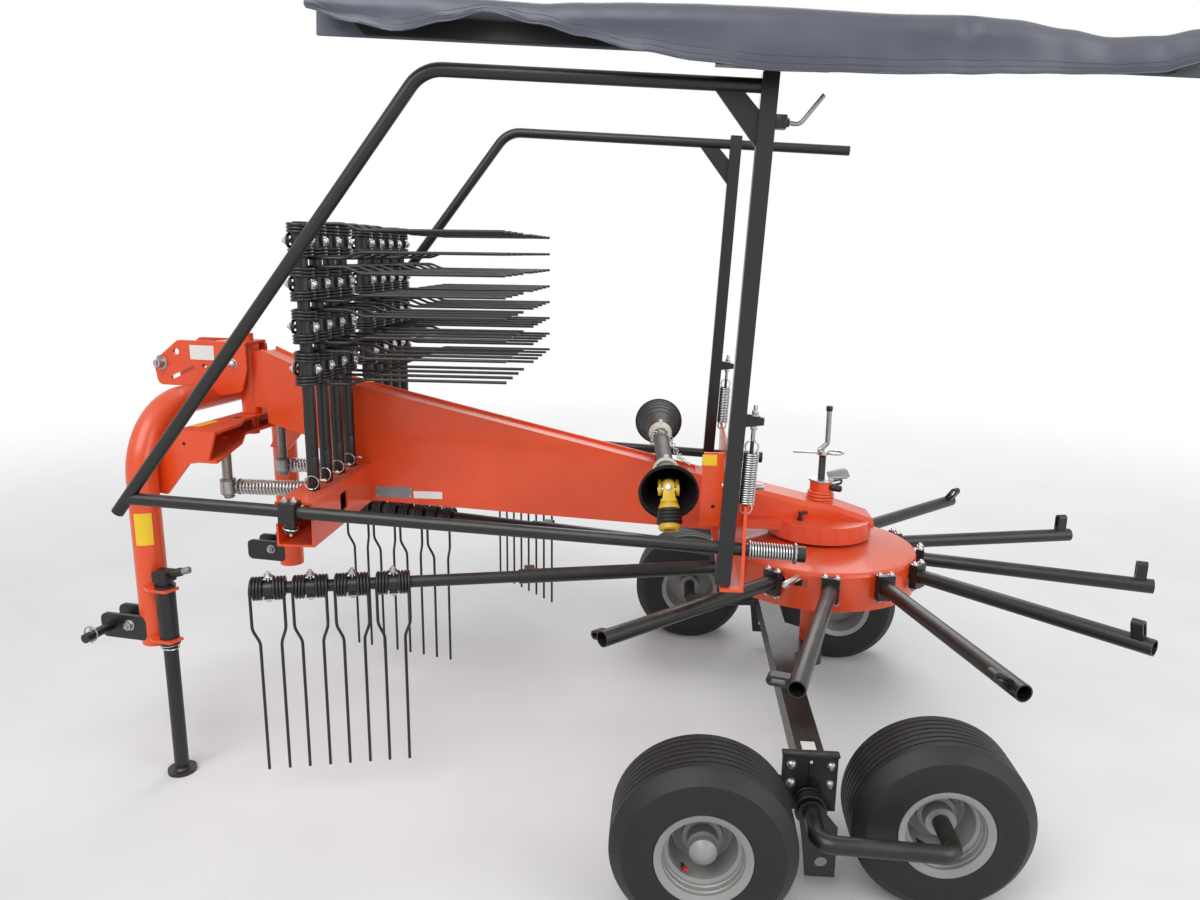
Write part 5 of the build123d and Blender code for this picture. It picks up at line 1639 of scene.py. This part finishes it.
@dataclass
class CrankTrim:
    """The height crank with its threaded stem, lever, handle and lock lever."""

    boss_top: float = 0.902
    stem: float = 0.0115
    thread: float = 0.0042
    thread_depth: float = 0.0014
    lever_z: float = 0.994
    lever: Outline = (
        (-0.093, -0.004), (-0.020, -0.0105), (0.018, -0.0105), (0.020, 0.0105), (-0.020, 0.0105),
        (-0.093, 0.004),
    )
    eye: Plan = (0.037, 0.02625)
    handle_x: float = 0.0115
    handle_top: float = 1.140
    blade: Outline = (
        (0.020, -0.014), (0.074, -0.024), (0.086, -0.018), (0.084, 0.010), (0.074, 0.020),
        (0.020, 0.016),
    )
    boss_rings: tuple[Plan, ...] = ((0.848, 0.0400), (0.858, 0.0385), (0.867, 0.0355))
    cover_pin: Point = (-0.070, -0.078, 0.792)

    def build(self) -> None:
        """Builds the crank in place of the plain one, then the lock lever under it."""
        low, high, radius = self.boss_top, self.lever_z, self.stem
        outline = [(0.0, low - 0.002), (radius, low - 0.002)]
        for n in range(round((high - low) / self.thread)):
            z = low + n * self.thread
            outline.append((radius - self.thread_depth, z + self.thread * 0.15))
            outline.append((radius, z + self.thread * 0.6))
        outline += [(radius, high), (0.0, high)]
        stem = Shape().lathe((0.0, 0.0, 0.0), tuple(outline), 28, False)
        made = stem.finish("crank_stem", BLACK)
        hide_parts("height_crank")
        self.turning()
        self.lock()

    def turning(self) -> None:
        """The flat lever with its eye, and the bent handle with its cap."""
        x, z, top = self.handle_x, self.lever_z, self.handle_top
        lever = Shape().rod((0.0, 0.0, z - 0.008), (0.0, 0.0, z + 0.008), 0.0185, 28, 0.002)
        lever.plate((0.0, 0.0, z), self.lever, 0.006, 0.0012)
        lever.ring((self.eye[0], 0.0, z), self.eye[1], 0.0036, 30, 10)
        lever.finish("crank_lever", BRIGHT)
        points = [(-0.014, 0.0, z + 0.006), (-0.004, 0.0, z + 0.013), (0.0125, 0.0, z + 0.030),
                  (x, 0.0, top)]
        Shape().bent(points, 0.0080, 0.012, 16).finish("crank_handle", ZINC)
        cap = Shape().rod((x, 0.0, top - 0.014), (x, 0.0, top + 0.003), 0.0102, 20, 0.003)
        cap.finish("crank_handle_cap", PLASTIC)

    def lock(self) -> None:
        """The collar with its blade on the boss, its grip and the small pin on the cover."""
        bore, z = self.stem + 0.0006, self.boss_top
        rim = ((0.0375, 0.0002), (0.0385, 0.0015), (0.0375, 0.0065))
        outline = ((bore, 0.0002), *rim, (bore, 0.0065))
        steel = Shape().lathe((0.0, 0.0, z), outline, 36)
        tilt = Matrix.Translation((0.0, 0.0, z + 0.012)) @ Matrix.Rotation(radians(-12.0), 4, "Y")
        steel.plate(tilt @ Matrix.Rotation(radians(34.0), 4, "X"), self.blade, 0.0045, 0.001)
        steel.finish("lock_lever", ZINC)
        grip = Shape().rod((0.026, -0.022, 0.886), (0.062, -0.026, 0.882), 0.0105, 22, 0.006)
        grip.finish("lock_grip", PLASTIC)
        rings = Shape()
        for height, radius in self.boss_rings:
            rings.ring((0.0, 0.0, height), radius, 0.0048, 36, 10)
        rings.finish("boss_rings", ORANGE)
        pin = Shape(BASE @ Matrix.Translation(self.cover_pin))
        pin.rod((0.0, 0.0, -0.001), (0.0, 0.0, 0.026), 0.0050, 14, 0.001)
        pin.rod((-0.004, 0.0, 0.020), (0.022, 0.0, 0.026), 0.0040, 12, 0.001)
        pin.rod((0.0, 0.0, -0.001), (0.0, 0.0, 0.004), 0.0095, 18, 0.001)
        pin.finish("cover_pin", BLACK)


# Trim on the drive shaft


@dataclass
class ShaftTrim:
    """Rims, ribs, collars, chain and the yellow fork of the drive shaft."""

    near: Vector = Vector((-0.484, -0.400, 0.9616))
    far: Vector = Vector((-0.525, 0.420, 1.0023))
    tip: Vector = Vector((-0.478, -0.455, 0.862))
    bell: float = 0.082
    neck: float = 0.034
    depth: float = 0.150
    droop: float = radians(10.0)
    drop: float = 0.010
    shaft: float = 0.026
    ribs: tuple[Plan, ...] = (
        # share of the way to the neck, wire
        (0.0, 0.0038), (0.10, 0.0022), (0.22, 0.0020), (0.36, 0.0020), (0.54, 0.0020),
    )
    ear: float = 0.0165
    chain_foot: Vector = Vector((-0.413, 0.010, 0.9350))
    chain_from: float = 0.560
    chain_pitch: float = 0.0128
    link: float = 0.00868

    @property
    def along(self) -> Vector:
        """The shaft's direction, from its near joint to its far one."""
        return (self.far - self.near).normalized()

    def build(self) -> None:
        """Builds the shaft's trim."""
        self.bells()
        self.collars()
        self.fork()
        self.chain()

    def bells(self) -> None:
        """Rolled rims and ribs on both bells; the near one droops."""
        along, shape = self.along, Shape()
        across = along.cross(UP).normalized()
        turned = [Matrix.Rotation(turn, 3, across) @ -along for turn in (self.droop, -self.droop)]
        near_mouth = min(turned, key=lambda way: way.z)
        for mouth, neck, way, normal in (
            (self.near - UP * self.drop, self.near + along * self.depth, -along, near_mouth),
            (self.far, self.far - along * self.depth, along, along),
        ):
            for share, wire in self.ribs:
                place = aim(mouth.lerp(neck, share), normal.lerp(way, share).normalized())
                radius = self.bell + (self.neck - self.bell) * share
                shape.ring(place, radius - wire * 0.3, wire, 56)
        shape.finish("bell_rims", PLASTIC, "chassis", 60.0)

    def collars(self) -> None:
        """Cream bearing collars behind the bells, with their small chain holders."""
        along, shape, bore = self.along, Shape(), self.shaft + 0.0004
        outline = ((bore, 0.0), (0.0385, 0.0), (0.0400, 0.003), (0.0395, 0.014), (0.0360, 0.020),
                   (0.0350, 0.034), (bore, 0.036))
        reach = self.depth + 0.024
        for foot, way in ((self.near + along * reach, along), (self.far - along * reach, -along)):
            shape.lathe(aim(foot, way), outline, 36)
            shape.block(aim(foot + way * 0.010 + UP * 0.040, way), (0.014, 0.016, 0.016), 0.003)
        shape.finish("shaft_collars", CREAM)

    def fork(self) -> None:
        """The yellow fork, its cross, the ribbed boot and the end ring, for the plain one."""
        along, near = self.along, self.near
        axes = aim(self.tip, near - self.tip, ALONG)
        joint = (near - self.tip).length
        end = ((0.0175, -0.001), (0.0275, -0.001), (0.0302, 0.002), (0.0302, 0.013),
               (0.0285, 0.0155), (0.0175, 0.0155))
        hub = ((0.0, 0.058), (0.0290, 0.058), (0.0290, 0.066), (0.0265, 0.070), (0.0235, 0.078),
               (0.0235, 0.086), (0.0, 0.087))
        yellow = Shape().lathe(axes, end, 40).lathe(axes, hub, 36, False)
        arc = [(self.ear * cos(a), 0.010 + self.ear * sin(a))
               for a in map(radians, range(-20, 201, 20))]
        ear = ((0.0190, -0.030), *arc, (-0.0190, -0.030))
        quarter_x, quarter_y, quarter_z = [Matrix.Rotation(pi / 2, 4, axis) for axis in "XYZ"]
        other = aim(near, -along, ALONG) @ Matrix.Translation((0.0, 0.0, -0.006))
        for side in SIDES:
            place = axes @ Matrix.Translation((0.0, side * 0.0215, joint - 0.010)) @ quarter_x
            yellow.plate(place, ear, 0.0095, 0.002)
        for side in SIDES:
            place = other @ Matrix.Translation((side * 0.0245, 0.0, 0.0)) @ quarter_y @ quarter_z
            yellow.plate(place, ear, 0.0095, 0.002)
        yellow.rod(near + along * 0.014, near + along * 0.030, 0.0235, 32, 0.002)
        piece = yellow.finish("shaft_fork", YELLOW)
        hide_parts("shaft_yoke")
        cross = Shape()
        across = axes.to_3x3() @ ACROSS
        for way in (ALONG, -ALONG, across, -across):
            cross.rod(near, near + way * 0.031, 0.0088, 20, 0.002)
        cross.finish("fork_cross", BRIGHT)
        boot = [(0.0175, 0.0155), (0.0330, 0.0155)]
        for n in range(4):
            z, rib = 0.018 + n * 0.010, 0.0362 - n * 0.0012
            boot += [(rib, z + 0.002), (rib, z + 0.006), (rib - 0.0040, z + 0.0085)]
        boot += [(0.0285, 0.060), (0.0175, 0.060)]
        Shape().lathe(axes, tuple(boot), 40).finish("fork_boot", PLASTIC, "chassis", 50.0)

    def chain(self) -> None:
        """The safety chain: a turn round the shaft and a strand down to the beam."""
        link = Shape(MODEL).ring((0.0, 0.0, 0.0), self.link, 0.0015, 14, 6).as_mesh("chain_link")
        along = self.along
        centre = self.near + along * self.chain_from
        side = along.cross(UP).normalized()
        lift = side.cross(along).normalized()
        reach, steps = self.shaft + 0.0045, 12
        points = []
        for n in range(steps + 1):
            a = radians(200.0 - n * 16.0)
            round_shaft = side * (reach * cos(a)) + lift * (reach * sin(a))
            points.append(centre + round_shaft - along * (0.003 * n))
        start = points[-1]
        for n in range(1, steps + 1):
            t = n / steps
            points.append(start.lerp(self.chain_foot, t) - UP * 0.063 * (t - t * t))
        shape, spare, count = Shape(), 0.0, 0
        for first, second in zip(points, points[1:]):
            step = second - first
            while spare <= step.length:
                spot = first.lerp(second, spare / step.length)
                turn = Matrix.Rotation(pi / 2 * (count % 2), 4, "X")
                shape.copy(link, aim(spot, step.cross(lift + side), step) @ turn)
                spare += self.chain_pitch
                count += 1
            spare -= step.length
        shape.finish("safety_chain", BRIGHT, "chassis", 60.0)


# Trim on the rotor and the axle


@dataclass
class RotorTrim:
    """Bolts on the stub collars and the pin in the dish's window."""

    dish: float = 0.305
    gap: float = 0.008
    collar: float = 0.024
    collar_half: float = 0.037
    bolt_side: float = 0.0175

    def build(self, rotor: Rotor) -> None:
        """Builds the rotor's trim.

        Args:
            rotor: the rotor with its arms' places.
        """
        bolts, welds = Shape(), Shape()
        start = sqrt(self.dish**2 - rotor.arm_offset**2) + self.gap
        for slot in range(rotor.arms):
            bolts.place = welds.place = rotor.arm(slot)
            for down in SIDES:
                for side in SIDES:
                    spot = (down * self.collar_half, side * self.bolt_side, start + self.collar / 2)
                    bolts.bolt(spot, ALONG * down, 0.0165, 0.0090, 0.0105, True)
            for station in (start, start + self.collar):
                welds.ring((0.0, 0.0, station), 0.0222, 0.0022, 24, 6)
        bolts.finish("collar_bolts", BRIGHT, "rotor")
        welds.finish("collar_welds", BLACK, "rotor", 60.0)
        pin = Shape().rod((-0.088, -0.272, 0.678), (-0.146, -0.360, 0.680), 0.0098, 24, 0.003)
        pin.finish("dish_pin", BRIGHT, "rotor")


@dataclass
class AxleTrim:
    """Bolts, welds and blank label of the axle's ends."""

    end: float = 0.720
    bolts: tuple[Plan, ...] = ((-0.152, 0.333), (-0.052, 0.333), (-0.152, 0.281), (-0.052, 0.281))
    middle: float = -0.105
    weld_z: float = 0.235
    weld_bore: float = 0.0322
    welds: tuple[Plan, ...] = ((0.7660, 0.0405), (0.7240, 0.0380))

    def build(self) -> None:
        """Builds both ends of the axle."""
        x, end = self.middle, self.end
        domes = Shape()
        black = Shape().pairs(((x, end, 0.342), (x, end, 0.268), 0.0040, 10, 0.001))
        zinc = Shape().pairs(((x, end, 0.3450), (x, end + 0.014, 0.3490), 0.0042, 10, 0.001))
        for side in SIDES:
            out = ACROSS * side
            for bolt_x, z in self.bolts:
                domes.bolt((bolt_x, side * end, z), out, 0.0270, 0.0125, dome=True)
                zinc.bolt((bolt_x, side * (end - 0.012), z), -out, 0.019, 0.009, 0.0125)
            black.block((x, side * (end - 0.002), 0.3640), (0.146, 0.026, 0.010), 0.004)
            for station, radius in self.welds:
                outline = washer(self.weld_bore, radius, 0.0045, 0.0008, 0.001)
                black.lathe(aim((x, side * station, self.weld_z), out), outline, 36)
        domes.finish("axle_end_bolts", ZINC)
        black.finish("axle_end_welds", BLACK)
        zinc.finish("axle_end_nuts", BRIGHT)
        label = Shape().block((-0.1065, -0.686, 0.3653), (0.036, 0.048, 0.0008), 0.0002, 1)
        label.finish("blank_axle_label", WHITE_LABEL)


# The machine as it was photographed


@dataclass
class Studio:
    """Floor, lights and the camera at the photograph's angle."""

    camera_at: Point = (0.1302, -2.9401, 1.5991)
    yaw: float = -0.0756251476
    pitch: float = 0.215078908
    roll: float = -0.0126112145
    lens: float = 26.983
    lamps: tuple[tuple[str, Point, Point, float, float], ...] = (
        # name, place, what it looks at, size, watts
        ("key", (-1.8, -4.2, 5.2), (0.0, -0.2, 0.8), 4.5, 260.0),
        ("fill", (4.6, -3.2, 3.2), (0.3, 0.0, 0.7), 4.0, 120.0),
        ("rim", (0.6, 4.8, 4.4), (0.0, 0.0, 0.9), 4.0, 150.0),
    )

    def build(self) -> None:
        """Builds the camera, the floor, the lights and the backdrop."""
        self.camera()
        self.floor()
        for name, place, target, size, power in self.lamps:
            data = bpy.data.lights.new(name, "AREA")
            data.size = size
            data.energy = power
            scene_object(name, data).matrix_world = aim(place, Vector(place) - Vector(target))
        self.backdrop()

    def camera(self) -> None:
        """Places the camera by its three angles."""
        data = bpy.data.cameras.new("camera")
        data.sensor_fit = "HORIZONTAL"
        data.sensor_width = 36.0
        data.lens = self.lens
        data.clip_end = 200.0
        level = cos(self.pitch)
        ahead = Vector((sin(self.yaw) * level, cos(self.yaw) * level, -sin(self.pitch)))
        right = Vector((cos(self.yaw), -sin(self.yaw), 0.0))
        down = ahead.cross(right)
        across = right * cos(self.roll) + down * sin(self.roll)
        below = down * cos(self.roll) - right * sin(self.roll)
        camera = scene_object("camera", data)
        axes = Matrix((across, -below, -ahead)).transposed().to_4x4()
        camera.matrix_world = Matrix.Translation(self.camera_at) @ axes
        bpy.context.scene.camera = camera

    def floor(self) -> None:
        """A wide pale floor that fades to white."""
        mesh = bmesh.new()
        bmesh.ops.create_circle(mesh, cap_ends=True, segments=96, radius=40.0)
        made = bpy.data.meshes.new("floor")
        mesh.to_mesh(made)
        mesh.free()
        floor = scene_object("floor", made)
        material = bpy.data.materials.new("pale_floor")
        board = Board.emptied(material)
        share = board.span(board.noise(board.place(), 1.6, 4.0, 0.5), 0.3, 0.7)
        colour = board.blend(share, linear((226, 225, 222)), linear((220, 219, 216)))
        shader = board.add("ShaderNodeBsdfPrincipled", {"Base Color": colour, "Roughness": 0.85})
        rays = board.add("ShaderNodeLightPath").outputs
        seen = board.math("MAXIMUM", rays["Is Camera Ray"], rays["Is Glossy Ray"])
        seen = board.math("MAXIMUM", seen, rays["Is Transmission Ray"])
        distance = board.add("ShaderNodeVectorMath", {0: board.place()}, operation="LENGTH")
        white = board.math("MULTIPLY", seen, board.span(distance.outputs["Value"], 1.6, 7.5))
        glow = board.add("ShaderNodeEmission", {"Color": (1.0, 1.0, 1.0, 1.0), "Strength": 1.0})
        links = {0: white, 1: shader.outputs[0], 2: glow.outputs[0]}
        mixed = board.add("ShaderNodeMixShader", links)
        board.add("ShaderNodeOutputMaterial", {0: mixed.outputs[0]})
        made.materials.append(material)

    def backdrop(self) -> None:
        """A soft sky for light and a white one for the camera and reflections."""
        world = bpy.data.worlds.new("studio")
        bpy.context.scene.world = world
        board = Board.emptied(world)
        rays = board.add("ShaderNodeLightPath").outputs
        seen = board.math("MAXIMUM", rays["Is Camera Ray"], rays["Is Transmission Ray"])
        light, glossy, white = [
            board.add("ShaderNodeBackground", {"Color": colour, "Strength": strength}).outputs[0]
            for colour, strength in (
                (linear((236, 240, 248)), 0.55), (linear((250, 250, 250)), 0.8), ((1.0,) * 4, 1.0)
            )
        ]
        first = board.add("ShaderNodeMixShader", {0: rays["Is Glossy Ray"], 1: light, 2: glossy})
        both = board.add("ShaderNodeMixShader", {0: seen, 1: first.outputs[0], 2: white})
        board.add("ShaderNodeOutputWorld", {0: both.outputs[0]})
        bpy.context.scene.view_settings.view_transform = "Standard"


def dress_cad() -> None:
    """Gives every CAD node that stays its finish."""
    for finish, names in CAD_FINISHES.items():
        for name in names:
            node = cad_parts[name]
            if node.material_slots:
                for slot in node.material_slots:
                    slot.material = finish.make()
            else:
                node.data.materials.append(finish.make())
            log.info("%s wears %s", name, finish.name)


def main() -> None:
    """Builds the stage, then each sub-assembly's pieces, in order."""
    logging.basicConfig(level=logging.INFO, format="%(message)s")
    Studio().build()
    dress_cad()
    tine, rotor, racks = DoubleTine(), Rotor(), Racks()
    racks.build(tine)
    rotor.build(tine)
    for part in (Undercarriage, SteeringStruts, Curtain, HeadTrim, StandTrim, GuardTrim):
        part().build()
    RackTrim().build(racks)
    for part in (BeamTrim, CrankTrim, ShaftTrim):
        part().build()
    RotorTrim().build(rotor)
    AxleTrim().build()


if __name__ == "__main__":
    main()
